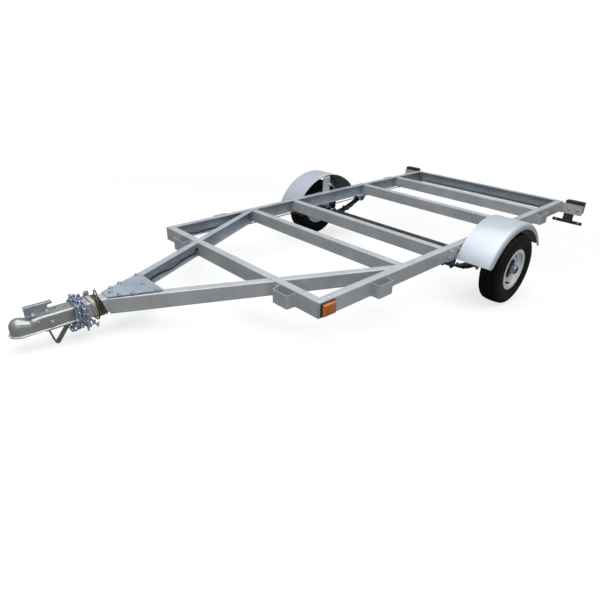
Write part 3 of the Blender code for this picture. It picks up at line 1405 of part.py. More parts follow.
def set_down(root, pitch):
    """Pitches the trailer onto its foot, puts the ground at z = 0 and its middle at the origin."""
    root.rotation_euler.x = pitch
    bpy.context.view_layer.update()
    graph = bpy.context.evaluated_depsgraph_get()
    stations = []
    heights = []
    for item in bpy.context.scene.objects:
        if item.type != "MESH" or item.hide_render or item.name.startswith("lead_"):
            continue
        solid = item.evaluated_get(graph)
        for vertex in solid.data.vertices:
            spot = solid.matrix_world @ vertex.co
            stations.append(spot.y)
            heights.append(spot.z)
    root.location = (0.0, -(min(stations) + max(stations)) / 2, -min(heights))


def build():
    """Models the whole trailer."""
    for item in list(bpy.data.objects):
        bpy.data.objects.remove(item, do_unlink=True)
    finish = finishes()
    root = bpy.data.objects.new("trailer", None)
    bpy.context.scene.collection.objects.link(root)
    pitch = parked_pitch()
    galvanised = finish["galvanised"]
    side_rails(galvanised, root)
    end_rails(galvanised, root)
    crossmembers(galvanised, root)
    tongue_bars(galvanised, root)
    tongue_beam(galvanised, root)
    coupler(galvanised, finish["zinc"], root)
    foot_strap(galvanised, root)
    springs(finish["black_paint"], root)
    hangers(finish["black_paint"], galvanised, root)
    axle(finish["black_paint"], root)
    axle_clamps(finish["zinc"], root)
    wheels(finish, root, pitch)
    fenders(finish["fender_steel"], galvanised, root)
    tail_lamps(finish, root)
    plate_holder(finish, root)
    side_markers(finish, root)
    safety_chains(finish, root)
    lead(finish, root)
    wiring(finish, root)
    set_down(root, pitch)


build()
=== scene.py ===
"""Looks of a small single-axle utility trailer: its fasteners, chain, lamp lead, tyres, lamps, finishes and studio."""

import json
import logging
import math
import random
from collections.abc import Callable, Iterator, Sequence
from contextlib import contextmanager
from dataclasses import dataclass
from enum import Enum

import bmesh
import bpy
from mathutils import Matrix, Vector


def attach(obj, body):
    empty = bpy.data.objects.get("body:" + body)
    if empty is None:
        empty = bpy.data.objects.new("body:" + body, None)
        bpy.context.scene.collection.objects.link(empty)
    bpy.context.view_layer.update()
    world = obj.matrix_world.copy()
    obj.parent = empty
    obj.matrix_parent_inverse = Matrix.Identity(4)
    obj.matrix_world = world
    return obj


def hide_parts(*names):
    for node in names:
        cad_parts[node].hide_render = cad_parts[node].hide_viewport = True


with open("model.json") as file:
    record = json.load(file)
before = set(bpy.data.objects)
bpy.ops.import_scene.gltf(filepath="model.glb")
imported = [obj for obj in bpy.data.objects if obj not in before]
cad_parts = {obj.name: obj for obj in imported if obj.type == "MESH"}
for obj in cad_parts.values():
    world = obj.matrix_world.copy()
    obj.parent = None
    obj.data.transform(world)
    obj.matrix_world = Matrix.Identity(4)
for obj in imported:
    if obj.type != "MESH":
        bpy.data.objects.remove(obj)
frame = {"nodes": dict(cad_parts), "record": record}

LOG = logging.getLogger("trailer")
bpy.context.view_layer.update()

Point = tuple[float, float, float]
Outline = Sequence[tuple[float, float]]

# The trailer is drawn level, with the bed's front at y = 0 and its top at z = 0, and stands nose down.
PITCH = math.radians(5.8149716230100355)
STANDING = Matrix.Translation((0.0, -0.7571913004, 0.2181153893)) @ Matrix.Rotation(PITCH, 4, "X")

BED_LENGTH = 2.4384
RAIL_HALF = 0.6096
SPLICE_FACE = 0.6139
CROSSMEMBERS = (0.576, 0.930, 1.665, 2.075)
AXLE_STATION = 1.320
AXLE_HEIGHT = -0.149398
BEAM_HALF = 0.03175
BEAM_BOTTOM = -0.0635
GUSSET_TOP = 0.0043
COUPLER_TOP = 0.0043
COUPLER_SIDE = 0.03605
TONGUE_APEX = -0.617
TONGUE_HALF_SPREAD = 0.3280827
SPRING_OFFSET = 0.5906
EYE_HEIGHT = -0.0982
SPRING_HALF_SPAN = 0.317
WHEEL_OFFSET = 0.7699
FENDER_INNER = 0.6209

TOUCH = 1e-6
LOOKS_ALONG = 0.9
WHITE: Point = (1.0, 1.0, 1.0)
UP, DOWN, AHEAD, BACK = (0, 0, 1), (0, 0, -1), (0, -1, 0), (0, 1, 0)


class Side(Enum):
    """A side of the trailer, seen by someone who sits on the bed and looks ahead."""

    LEFT = 1.0
    RIGHT = -1.0

    @property
    def label(self) -> str:
        """The side's word in piece names."""
        return self.name.lower()


class Pick(Enum):
    """What is selected on a mesh in edit mode."""

    VERTS = "VERT"
    FACES = "FACE"


class Axis(Enum):
    """The axis that a slab's thickness lies along."""

    X = 0
    Y = 1


class Bench:
    """Hand modelling with the operators of the modelling window, one piece at a time."""

    @staticmethod
    def only(*pieces: bpy.types.Object) -> None:
        """Selects these pieces and nothing else, in object mode.

        Args:
            pieces: the pieces, of which the last becomes the active one.
        """
        if bpy.context.mode != "OBJECT":
            bpy.ops.object.mode_set(mode="OBJECT")
        bpy.ops.object.select_all(action="DESELECT")
        for piece in pieces:
            piece.select_set(True)
        if pieces:
            bpy.context.view_layer.objects.active = pieces[-1]

    @staticmethod
    def named(name: str) -> bpy.types.Object:
        """Names the piece that was just added.

        Args:
            name: its name.

        Returns:
            The piece.
        """
        piece = bpy.context.object
        piece.name = piece.data.name = name
        return piece

    @staticmethod
    @contextmanager
    def shaping(piece: bpy.types.Object, kind: Pick = Pick.FACES) -> Iterator[None]:
        """Edit mode on one piece, with nothing selected at first.

        Args:
            piece: the mesh that is shaped.
            kind: what the selection is made of.
        """
        Bench.only(piece)
        bpy.ops.object.mode_set(mode="EDIT")
        bpy.ops.mesh.select_mode(type=kind.value)
        bpy.ops.mesh.select_all(action="DESELECT")
        try:
            yield
        finally:
            bpy.ops.object.mode_set(mode="OBJECT")

    @staticmethod
    def pick(piece: bpy.types.Object, kind: Pick, test: Callable[[Vector, Vector], bool]) -> None:
        """Selects what passes a test, and drops the rest of the selection.

        Args:
            piece: the mesh in edit mode.
            kind: what the test looks at.
            test: takes a middle and a normal, in the piece's own axes.
        """
        bpy.ops.mesh.select_mode(type=kind.value)
        bpy.ops.mesh.select_all(action="DESELECT")
        mesh = bmesh.from_edit_mesh(piece.data)
        mesh.normal_update()
        if kind is Pick.FACES:
            for face in mesh.faces:
                face.select_set(test(face.calc_center_median(), face.normal))
        else:
            for vertex in mesh.verts:
                vertex.select_set(test(vertex.co, vertex.normal))
        mesh.select_flush_mode()
        bmesh.update_edit_mesh(piece.data)

    @staticmethod
    def pick_end(piece: bpy.types.Object, way: Point) -> None:
        """Selects the faces that look along a direction."""
        toward = Vector(way)
        Bench.pick(piece, Pick.FACES, lambda middle, normal: normal.dot(toward) > LOOKS_ALONG)

    @staticmethod
    def extrude(x: float, y: float, z: float) -> None:
        """Pulls out what is selected."""
        bpy.ops.mesh.extrude_region_move(TRANSFORM_OT_translate={"value": (x, y, z)})

    @staticmethod
    def turn_outwards() -> None:
        """Selects the whole mesh in edit mode and turns its faces outwards."""
        bpy.ops.mesh.select_all(action="SELECT")
        bpy.ops.mesh.normals_make_consistent(inside=False)
        if bmesh.from_edit_mesh(bpy.context.object.data).calc_volume(signed=True) < 0:
            bpy.ops.mesh.flip_normals()

    @staticmethod
    def trace(name: str, points: Sequence[Vector], closed: bool = True) -> bpy.types.Object:
        """Draws an outline by pulling one vertex from point to point.

        Args:
            name: the piece's name.
            points: the outline's corners in order.
            closed: whether the outline is filled with a face.

        Returns:
            The piece, its origin at the first point.
        """
        Bench.only()
        bpy.ops.mesh.primitive_plane_add(size=0.001, location=points[0])
        piece = Bench.named(name)
        with Bench.shaping(piece, Pick.VERTS):
            bpy.ops.mesh.select_all(action="SELECT")
            bpy.ops.mesh.merge(type="CENTER")
            for here, ahead in zip(points, points[1:]):
                Bench.extrude(*(ahead - here))
            if closed:
                bpy.ops.mesh.select_all(action="SELECT")
                bpy.ops.mesh.edge_face_add()
        Bench.freeze(piece)
        return piece

    @staticmethod
    def pulled(name: str, points: Sequence[Vector], reach: Vector) -> bpy.types.Object:
        """A traced outline pulled to a solid.

        Args:
            name: the piece's name.
            points: the outline's corners in order.
            reach: how far and which way it is pulled.

        Returns:
            The solid.
        """
        piece = Bench.trace(name, points)
        with Bench.shaping(piece):
            bpy.ops.mesh.select_all(action="SELECT")
            Bench.extrude(*reach)
            Bench.turn_outwards()
        return piece

    @staticmethod
    def slab(name: str, outline: Outline, axis: Axis, foot: float, thick: float) -> bpy.types.Object:
        """A flat outline pulled to a slab.

        Args:
            name: the piece's name.
            outline: its corners across the axis.
            axis: the axis that its thickness lies along.
            foot: where it starts on that axis.
            thick: how thick it is.

        Returns:
            The slab.
        """
        if axis is Axis.X:
            return Bench.pulled(name, [Vector((foot, a, b)) for a, b in outline], Vector((thick, 0, 0)))
        return Bench.pulled(name, [Vector((a, foot, b)) for a, b in outline], Vector((0, thick, 0)))

    @staticmethod
    def drum(name: str, sides: int, radius: float, foot: float, depth: float) -> bpy.types.Object:
        """A short cylinder along Z.

        Args:
            name: the piece's name.
            sides: how many faces go round it.
            radius: its radius.
            foot: the height that it stands on.
            depth: how deep it is.

        Returns:
            The cylinder.
        """
        Bench.only()
        place = (0, 0, foot + depth / 2)
        bpy.ops.mesh.primitive_cylinder_add(vertices=sides, radius=radius, depth=depth, location=place)
        return Bench.freeze(Bench.named(name))

    @staticmethod
    def spun(name: str, profile: Outline, steps: int) -> bpy.types.Object:
        """A profile spun about the X axis.

        Args:
            name: the piece's name.
            profile: (x, radius) points, closed, or ending on the axis.
            steps: how many steps make the full turn.

        Returns:
            The solid, closed, its faces outwards.
        """
        points = [Vector((x, 0.0, -radius)) for x, radius in profile]
        if min(radius for _, radius in profile) > TOUCH:
            points.append(points[0])
        piece = Bench.trace(name, points, closed=False)
        with Bench.shaping(piece, Pick.VERTS):
            bpy.ops.mesh.select_all(action="SELECT")
            bpy.ops.mesh.remove_doubles(threshold=TOUCH)
            bpy.ops.mesh.spin(steps=steps, angle=math.tau, center=(0, 0, 0), axis=(1, 0, 0))
            bpy.ops.mesh.select_all(action="SELECT")
            bpy.ops.mesh.remove_doubles(threshold=TOUCH)
            Bench.turn_outwards()
        return piece

    @staticmethod
    def bevelled(piece: bpy.types.Object, width: float, segments: int = 2, angle: float = 40.0) -> bpy.types.Object:
        """Rounds the piece's sharp edges with an applied Bevel modifier.

        Args:
            piece: the mesh.
            width: the bevel's width in metres.
            segments: how many strips make the round.
            angle: edges sharper than this many degrees are rounded.

        Returns:
            The same piece.
        """
        Bench.only(piece)
        step = piece.modifiers.new("Bevel", "BEVEL")
        step.width, step.segments = width, segments
        step.limit_method, step.angle_limit = "ANGLE", math.radians(angle)
        step.use_clamp_overlap = True
        bpy.ops.object.modifier_apply(modifier=step.name)
        return piece

    @staticmethod
    def freeze(piece: bpy.types.Object) -> bpy.types.Object:
        """Puts the piece's place, turn and scale into its mesh."""
        Bench.only(piece)
        bpy.ops.object.transform_apply(location=True, rotation=True, scale=True)
        return piece

    @staticmethod
    def joined(name: str, *pieces: bpy.types.Object) -> bpy.types.Object:
        """Makes several meshes one piece.

        Args:
            name: the piece's name.
            pieces: the meshes.

        Returns:
            The one piece.
        """
        Bench.only(*pieces)
        if len(pieces) > 1:
            bpy.ops.object.join()
        return Bench.named(name)

    @staticmethod
    def copies(name: str, model: bpy.types.Object, places: Sequence[Matrix]) -> bpy.types.Object:
        """Copies a model to several places, each copy with its own mesh, and makes them one piece.

        Args:
            name: the piece's name.
            model: what is copied, and then deleted.
            places: where each copy goes.

        Returns:
            The copies as one piece.
        """
        made = []
        for place in places:
            Bench.only(model)
            bpy.ops.object.duplicate(linked=False)
            copy = bpy.context.object
            copy.matrix_world = place @ model.matrix_world
            made.append(copy)
        bpy.data.objects.remove(model)
        return Bench.freeze(Bench.joined(name, *made))

    @staticmethod
    def tube(name: str, path: Sequence[Vector], radius: float, sides: int = 8) -> bpy.types.Object:
        """A round tube along a path, with closed ends.

        Args:
            name: the piece's name.
            path: the points of its middle line.
            radius: the tube's radius.
            sides: how many faces go round it.

        Returns:
            The tube as a mesh.
        """
        Bench.only()
        curve = bpy.data.curves.new(name, "CURVE")
        curve.dimensions, curve.bevel_depth = "3D", radius
        curve.bevel_resolution, curve.use_fill_caps = max(0, sides // 2 - 2), True
        line = curve.splines.new("POLY")
        line.points.add(len(path) - 1)
        for place, spot in zip(line.points, path):
            place.co = (*spot, 1.0)
        piece = bpy.data.objects.new(name, curve)
        bpy.context.scene.collection.objects.link(piece)
        Bench.only(piece)
        bpy.ops.object.convert(target="MESH")
        with Bench.shaping(piece, Pick.VERTS):
            bpy.ops.mesh.select_all(action="SELECT")
            bpy.ops.mesh.remove_doubles(threshold=TOUCH)
            Bench.turn_outwards()
        return Bench.named(name)

    @staticmethod
    def mirrored(piece: bpy.types.Object, side: Side) -> bpy.types.Object:
        """Turns a piece that was drawn for the left into the one for the given side.

        Args:
            piece: the mesh.
            side: the side it is for.

        Returns:
            The same piece.
        """
        if side is Side.RIGHT:
            Bench.only(piece)
            bpy.ops.transform.resize(value=(-1, 1, 1), center_override=(0, 0, 0))
            Bench.freeze(piece)
            with Bench.shaping(piece):
                Bench.turn_outwards()
        return piece

    @staticmethod
    def settled(
        piece: bpy.types.Object,
        *finishes: "Finish",
        body: str = "frame",
        place: Matrix = STANDING,
        smooth: float = 35.0,
        stands_for: Sequence[str] = (),
    ) -> bpy.types.Object:
        """Ends a piece: it is put in its place, dressed, and set on its body.

        Args:
            piece: the mesh, drawn in the axes that place starts from.
            finishes: its finishes, one for each of its material slots.
            body: the body that it rides on.
            place: from the drawing's axes to where it stands.
            smooth: edges flatter than this many degrees are shaded smooth.
            stands_for: the solids that it replaces.

        Returns:
            The same piece.
        """
        piece.matrix_world = place @ piece.matrix_world
        Bench.freeze(piece)
        bpy.ops.object.shade_smooth_by_angle(angle=math.radians(smooth))
        while len(piece.data.materials) < len(finishes):
            piece.data.materials.append(None)
        for index, finish in enumerate(finishes):
            piece.data.materials[index] = finish.material()
        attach(piece, body)
        if stands_for:
            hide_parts(*stands_for)
        LOG.info("%s: %d faces, %s", piece.name, len(piece.data.polygons), finishes[0].label)
        return piece


def facing(point: Sequence[float], normal: Sequence[float], turn: float = 0.0) -> Matrix:
    """The place of a fastener with its foot at a point and its head along a normal, turned about it in radians."""
    upright = Vector(normal).to_track_quat("Z", "Y").to_matrix().to_4x4()
    return Matrix.Translation(Vector(point)) @ upright @ Matrix.Rotation(turn, 4, "Z")


def rounded(corners: Sequence[tuple[float, float, float]], steps: int = 4) -> list[tuple[float, float]]:
    """An outline through (x, y, radius) corners, each rounded by its radius.

    Args:
        corners: the corners in order.
        steps: how many pieces make each round.

    Returns:
        The outline's points.
    """
    outline: list[tuple[float, float]] = []
    for index, (x, y, radius) in enumerate(corners):
        here = Vector((x, y))
        if radius <= 0.0:
            outline.append((x, y))
            continue
        back = (Vector(corners[index - 1][:2]) - here).normalized()
        ahead = (Vector(corners[(index + 1) % len(corners)][:2]) - here).normalized()
        half = back.angle(ahead) / 2
        centre = here + (back + ahead).normalized() * (radius / math.sin(half))
        first = here + back * (radius / math.tan(half)) - centre
        last = here + ahead * (radius / math.tan(half)) - centre
        sweep = math.atan2(first.x * last.y - first.y * last.x, first.dot(last))
        start = math.atan2(first.y, first.x)
        for step in range(steps + 1):
            angle = start + sweep * step / steps
            outline.append((centre.x + radius * math.cos(angle), centre.y + radius * math.sin(angle)))
    return outline


def frame_box(low_x: float, high_x: float, low_y: float, high_y: float, radius: float) -> list[tuple[float, float]]:
    """A rectangle's outline with rounded corners."""
    corners = ((low_x, low_y), (high_x, low_y), (high_x, high_y), (low_x, high_y))
    return rounded([(x, y, radius) for x, y in corners])


def smooth_through(points: Sequence[Sequence[float]], spacing: float) -> list[Vector]:
    """A smooth curve through points.

    Args:
        points: the points that it passes through.
        spacing: about how far apart its own points are.

    Returns:
        The curve's points.
    """
    spots = [Vector(point) for point in points]
    spots = [spots[0] * 2 - spots[1], *spots, spots[-1] * 2 - spots[-2]]
    path = [spots[1]]
    for before, here, ahead, beyond in zip(spots, spots[1:], spots[2:], spots[3:]):
        steps = max(1, round((ahead - here).length / spacing))
        for step in range(1, steps + 1):
            t = step / steps
            bent = here + (ahead - before) * (t / 2)
            bent += (before * 2 - here * 5 + ahead * 4 - beyond) * (t * t / 2)
            bent += (here * 3 - before - ahead * 3 + beyond) * (t * t * t / 2)
            path.append(bent)
    return path


def length_of(path: Sequence[Vector]) -> float:
    """How long a path is, in metres."""
    return sum((ahead - here).length for here, ahead in zip(path, path[1:]))


Value = float | tuple[float, ...] | bpy.types.NodeSocket


class Nodes:
    """A node tree in the making."""

    def __init__(self, owner: bpy.types.Material | bpy.types.World) -> None:
        """Starts from the nodes that a material or world has."""
        owner.use_nodes = True
        self.tree = owner.node_tree

    def node(self, kind: str, values: dict[str | int, Value] | None = None, **settings: object) -> bpy.types.Node:
        """Adds a node.

        Args:
            kind: the node's type.
            values: what goes into its inputs, numbers or other nodes' outputs.
            settings: its own settings.

        Returns:
            The node.
        """
        added = self.tree.nodes.new(kind)
        for key, value in settings.items():
            setattr(added, key, value)
        for key, value in (values or {}).items():
            self.feed(added.inputs[key], value)
        return added

    def feed(self, socket: bpy.types.NodeSocket, value: Value) -> None:
        """Links or sets one input."""
        if isinstance(value, bpy.types.NodeSocket):
            self.tree.links.new(value, socket)
        elif isinstance(value, tuple) and len(value) == 3 and socket.type == "RGBA":
            socket.default_value = (*value, 1.0)
        else:
            socket.default_value = value

    def maths(self, operation: str, first: Value, second: Value) -> bpy.types.NodeSocket:
        """What an operation makes of two values."""
        return self.node("ShaderNodeMath", {0: first, 1: second}, operation=operation).outputs[0]

    def range(
        self, value: bpy.types.NodeSocket, low: float, high: float, start: float = 0.0, end: float = 1.0
    ) -> bpy.types.NodeSocket:
        """A value mapped so that start becomes low and end becomes high."""
        values = {"Value": value, "From Min": start, "From Max": end, "To Min": low, "To Max": high}
        return self.node("ShaderNodeMapRange", values).outputs["Result"]

    def blended(self, share: Value, first: bpy.types.Node, second: bpy.types.Node) -> bpy.types.Node:
        """A node that mixes the shaders of two others."""
        return self.node("ShaderNodeMixShader", {0: share, 1: first.outputs[0], 2: second.outputs[0]})

    def seen(self) -> bpy.types.NodeSocket:
        """1 for camera and transmission rays."""
        rays = self.node("ShaderNodeLightPath").outputs
        return self.maths("MAXIMUM", rays["Is Camera Ray"], rays["Is Transmission Ray"])

    def ends_in(self, output: str, shader: bpy.types.Node) -> None:
        """Sends a shader to the output node."""
        self.feed(self.tree.nodes[output].inputs["Surface"], shader.outputs[0])


class Recipe(Nodes):
    """A surface's nodes in the making, round one Principled shader."""

    def __init__(self, name: str) -> None:
        """Starts a material with its shader and the object's own coordinates.

        Args:
            name: the material's name.
        """
        self.made = bpy.data.materials.new(name)
        super().__init__(self.made)
        self.surface = self.tree.nodes["Principled BSDF"]
        self.place = self.node("ShaderNodeTexCoord").outputs["Object"]

    def scaled(self, stretch: Point) -> bpy.types.NodeSocket:
        """The object's coordinates, each times its own factor."""
        values = {"Vector": self.place, "Scale": stretch}
        return self.node("ShaderNodeMapping", values).outputs["Vector"]

    def noise(
        self, scale: float, detail: float = 3.0, place: bpy.types.NodeSocket | None = None
    ) -> bpy.types.NodeSocket:
        """Noise from 0 to 1 with so many clouds a metre and so many finer levels."""
        values = {"Vector": place or self.place, "Scale": scale, "Detail": detail, "Roughness": 0.55}
        return self.node("ShaderNodeTexNoise", values).outputs["Fac"]

    def cells(self, scale: float, feature: str = "F1") -> bpy.types.Node:
        """A Voronoi pattern with that many cells a metre."""
        return self.node("ShaderNodeTexVoronoi", {"Vector": self.place, "Scale": scale}, feature=feature)

    def tinted(self, colour: Value, share: bpy.types.NodeSocket, other: Value) -> bpy.types.NodeSocket:
        """A colour mixed with a share of another."""
        values = {0: share, 6: colour, 7: other}
        return self.node("ShaderNodeMix", values, data_type="RGBA", blend_type="MIX").outputs[2]

    def times(self, first: Value, second: Value) -> bpy.types.NodeSocket:
        """The product of two values."""
        return self.maths("MULTIPLY", first, second)

    def edges(self, radius: float) -> bpy.types.NodeSocket:
        """1 on sharp edges and 0 on flat faces.

        Args:
            radius: how far from the edge it reaches.

        Returns:
            The mask.
        """
        soft = self.node("ShaderNodeBevel", {"Radius": radius}, samples=4).outputs["Normal"]
        true = self.node("ShaderNodeNewGeometry").outputs["Normal"]
        dot = self.node("ShaderNodeVectorMath", {0: soft, 1: true}, operation="DOT_PRODUCT")
        return self.range(dot.outputs["Value"], 1.0, 0.0, 0.80, 0.995)

    def relief(
        self,
        height: bpy.types.NodeSocket,
        distance: float,
        strength: float,
        below: bpy.types.NodeSocket | None = None,
    ) -> bpy.types.NodeSocket:
        """A bump from a height.

        Args:
            height: the height from 0 to 1.
            distance: how high 1 is, in metres.
            strength: how strongly it shows.
            below: the normal that it lies on.

        Returns:
            The normal.
        """
        added = self.node("ShaderNodeBump", {"Height": height, "Distance": distance, "Strength": strength})
        if below is not None:
            self.feed(added.inputs["Normal"], below)
        return added.outputs["Normal"]

    def dress(self, **values: Value) -> None:
        """Sets the shader's inputs, their names written with _ for a space."""
        for key, value in values.items():
            self.feed(self.surface.inputs[key.replace("_", " ")], value)


@dataclass(frozen=True)
class Finish:
    """A surface: its name, the record's slot that it belongs to, its colour and its gloss."""

    label: str
    slot: str
    colour: Point
    roughness: float
    metallic: float = 0.0

    def material(self) -> bpy.types.Material:
        """The finish's material, made once.

        Returns:
            The material.
        """
        found = bpy.data.materials.get(self.label)
        if found is not None:
            return found
        recipe = Recipe(self.label)
        recipe.dress(Base_Color=self.colour, Roughness=self.roughness, Metallic=self.metallic)
        self.detail(recipe)
        return recipe.made

    def detail(self, recipe: Recipe) -> None:
        """Adds the pattern that the bare surface has."""
        recipe.dress(Normal=recipe.relief(recipe.noise(900.0), 0.0002, 0.15))


@dataclass(frozen=True)
class ZincCoat(Finish):
    """Zinc on steel: faint crystals, cloudy patches, dull streaks, and bright edges that are partly wear and partly a
    painted highlight.
    """

    crystals: float = 75.0
    contrast: float = 0.10
    # How strongly sharp edges are lightened: partly wear, partly a painted highlight.
    wear_and_highlight: float = 0.5

    def detail(self, recipe: Recipe) -> None:
        """Adds crystals, clouds, streaks and bright edges, partly wear and partly a painted highlight.

        Args:
            recipe: the nodes in the making.
        """
        cells = recipe.cells(self.crystals).outputs["Color"]
        grain = recipe.node("ShaderNodeSeparateColor", {"Color": cells}).outputs[0]
        cloud = recipe.noise(7.0, 5.0)
        streak = recipe.noise(60.0, 2.0, recipe.scaled((1.0, 0.12, 0.12)))
        dark = tuple(channel * (1 - self.contrast * 1.6) for channel in self.colour)
        pale = tuple(min(1.0, channel * (1 + self.contrast)) for channel in self.colour)
        colour = recipe.tinted(dark, recipe.range(cloud, 0.0, 1.0, 0.30, 0.70), pale)
        colour = recipe.tinted(colour, recipe.range(grain, 0.0, self.contrast * 2.2), pale)
        colour = recipe.tinted(colour, recipe.range(streak, 0.0, 0.30, 0.52, 0.80), dark)
        # Painted highlight: sharp edges are lightened towards pale zinc, partly wear and partly the light that edges
        # catch.
        edge = recipe.times(recipe.edges(0.0016), self.wear_and_highlight)
        colour = recipe.tinted(colour, edge, (0.86, 0.88, 0.92))
        rough = recipe.range(recipe.noise(40.0, 4.0), self.roughness - 0.07, self.roughness + 0.09)
        fine = recipe.noise(420.0, 3.0)
        normal = recipe.relief(fine, 0.00035, 0.22)
        normal = recipe.relief(recipe.noise(22.0, 2.0), 0.0012, 0.10, normal)
        recipe.dress(Base_Color=colour, Roughness=rough, Normal=normal)


@dataclass(frozen=True)
class BrightZinc(Finish):
    """Electroplated zinc on small hardware, bluish, with dull places and pale edges that are partly rubbed zinc and
    partly a painted highlight.
    """

    dull: Point = (0.30, 0.31, 0.34)

    def detail(self, recipe: Recipe) -> None:
        """Adds dull places, pale edges that are partly rub marks and partly a painted highlight, and a fine grain.

        Args:
            recipe: the nodes in the making.
        """
        cloud = recipe.range(recipe.noise(55.0, 4.0), 0.0, 0.75, 0.42, 0.72)
        colour = recipe.tinted(self.colour, cloud, self.dull)
        # Painted highlight: sharp edges are lightened towards pale zinc, partly rubbing and partly the light that edges
        # catch.
        colour = recipe.tinted(colour, recipe.edges(0.0008), (0.85, 0.88, 0.94))
        rough = recipe.range(recipe.noise(130.0, 3.0), self.roughness - 0.08, self.roughness + 0.16)
        recipe.dress(Base_Color=colour, Roughness=rough)
        recipe.dress(Normal=recipe.relief(recipe.noise(800.0), 0.0002, 0.25))


@dataclass(frozen=True)
class Paint(Finish):
    """Paint on steel: a slight orange peel, road dust and edges worn thin."""

    dust: Point = (0.16, 0.15, 0.14)
    dusty: float = 0.35
    bare: Point = (0.30, 0.30, 0.31)

    def detail(self, recipe: Recipe) -> None:
        """Adds dust in patches, worn edges and orange peel.

        Args:
            recipe: the nodes in the making.
        """
        patch = recipe.range(recipe.noise(16.0, 5.0), 0.0, self.dusty, 0.45, 0.75)
        colour = recipe.tinted(self.colour, patch, self.dust)
        worn = recipe.times(recipe.edges(0.0010), recipe.range(recipe.noise(70.0), 0.0, 0.8, 0.45, 0.65))
        colour = recipe.tinted(colour, worn, self.bare)
        rough = recipe.range(patch, self.roughness, min(1.0, self.roughness + 0.25))
        recipe.dress(Base_Color=colour, Roughness=rough, Coat_Weight=0.15)
        recipe.dress(Normal=recipe.relief(recipe.noise(260.0, 2.0), 0.0003, 0.20))


@dataclass(frozen=True)
class TyreRubber(Finish):
    """Tyre rubber with dust that gathers in patches."""

    dust: Point = (0.014, 0.0135, 0.0125)

    def detail(self, recipe: Recipe) -> None:
        """Adds dust, a fine grain and mould marks.

        Args:
            recipe: the nodes in the making.
        """
        patch = recipe.range(recipe.noise(24.0, 6.0), 0.0, 0.7, 0.46, 0.78)
        recipe.dress(Base_Color=recipe.tinted(self.colour, patch, self.dust), Specular_IOR_Level=0.16)
        recipe.dress(Roughness=recipe.range(patch, self.roughness - 0.10, self.roughness + 0.12, 0.0, 0.7))
        normal = recipe.relief(recipe.noise(650.0, 3.0), 0.0004, 0.30)
        recipe.dress(Normal=recipe.relief(recipe.noise(60.0, 2.0), 0.0008, 0.10, normal))


@dataclass(frozen=True)
class Lens(Finish):
    """A moulded lens: prisms in its depth under a clear gloss."""

    deep: Point = (0.10, 0.01, 0.005)
    prisms: float = 240.0

    def detail(self, recipe: Recipe) -> None:
        """Adds the prisms' pattern, its shade and a coat.

        Args:
            recipe: the nodes in the making.
        """
        cells = recipe.node("ShaderNodeTexVoronoi", {"Vector": recipe.place, "Scale": self.prisms, "Randomness": 0.0})
        height = cells.outputs["Distance"]
        shade = recipe.range(height, 0.0, 0.8, 0.15, 0.65)
        shade = recipe.times(shade, recipe.range(recipe.noise(30.0, 2.0), 0.6, 1.0))
        recipe.dress(Base_Color=recipe.tinted(self.colour, shade, self.deep))
        recipe.dress(Normal=recipe.relief(height, 0.0008, 0.35), Coat_Weight=0.45, Coat_Roughness=0.05)
        recipe.dress(Subsurface_Weight=0.15, Subsurface_Radius=(0.012, 0.003, 0.001), Subsurface_Scale=0.3)


@dataclass(frozen=True)
class Moulding(Finish):
    """Moulded plastic or vinyl with a fine grain and faded patches."""

    faded: Point = (0.07, 0.07, 0.07)
    grain: float = 700.0

    def detail(self, recipe: Recipe) -> None:
        """Adds the grain and the faded patches.

        Args:
            recipe: the nodes in the making.
        """
        patch = recipe.range(recipe.noise(35.0, 4.0), 0.0, 0.6, 0.45, 0.75)
        recipe.dress(Base_Color=recipe.tinted(self.colour, patch, self.faded))
        recipe.dress(Roughness=recipe.range(patch, self.roughness, self.roughness + 0.15, 0.0, 0.6))
        recipe.dress(Normal=recipe.relief(recipe.cells(self.grain).outputs["Distance"], 0.0003, 0.22))


RAIL_STEEL = ZincCoat("rail_steel", "galvanised", (0.46, 0.475, 0.495), 0.42, 0.30, wear_and_highlight=0.2)
# Painted shade: a cooler copy of the rail steel for the rails and the bar whose inner faces are seen in shade.
SHADED_RAIL_STEEL = ZincCoat("shaded_rail_steel", "galvanised", (0.42, 0.465, 0.515), 0.40, 0.35, 60.0, 0.15, 0.2)
# Painted shade: a dark copy of the fender steel for the sheet's faces towards the wheel.
SHADED_FENDER_STEEL = ZincCoat("fender_underside_shade", "fender_steel", (0.17, 0.175, 0.185), 0.55, 0.20, 40.0, 0.12, 0.1)
GUSSET_STEEL = ZincCoat("gusset_steel", "galvanised", (0.355, 0.405, 0.47), 0.40, 0.30, 60.0, 0.14, 0.4)
FENDER_STEEL = ZincCoat("fender_sheet", "fender_steel", (0.475, 0.515, 0.565), 0.36, 0.25, 40.0, 0.04, 0.25)
COUPLER_STEEL = ZincCoat("coupler_steel", "galvanised", (0.36, 0.365, 0.36), 0.34, 0.65, 110.0, 0.14, 0.6)
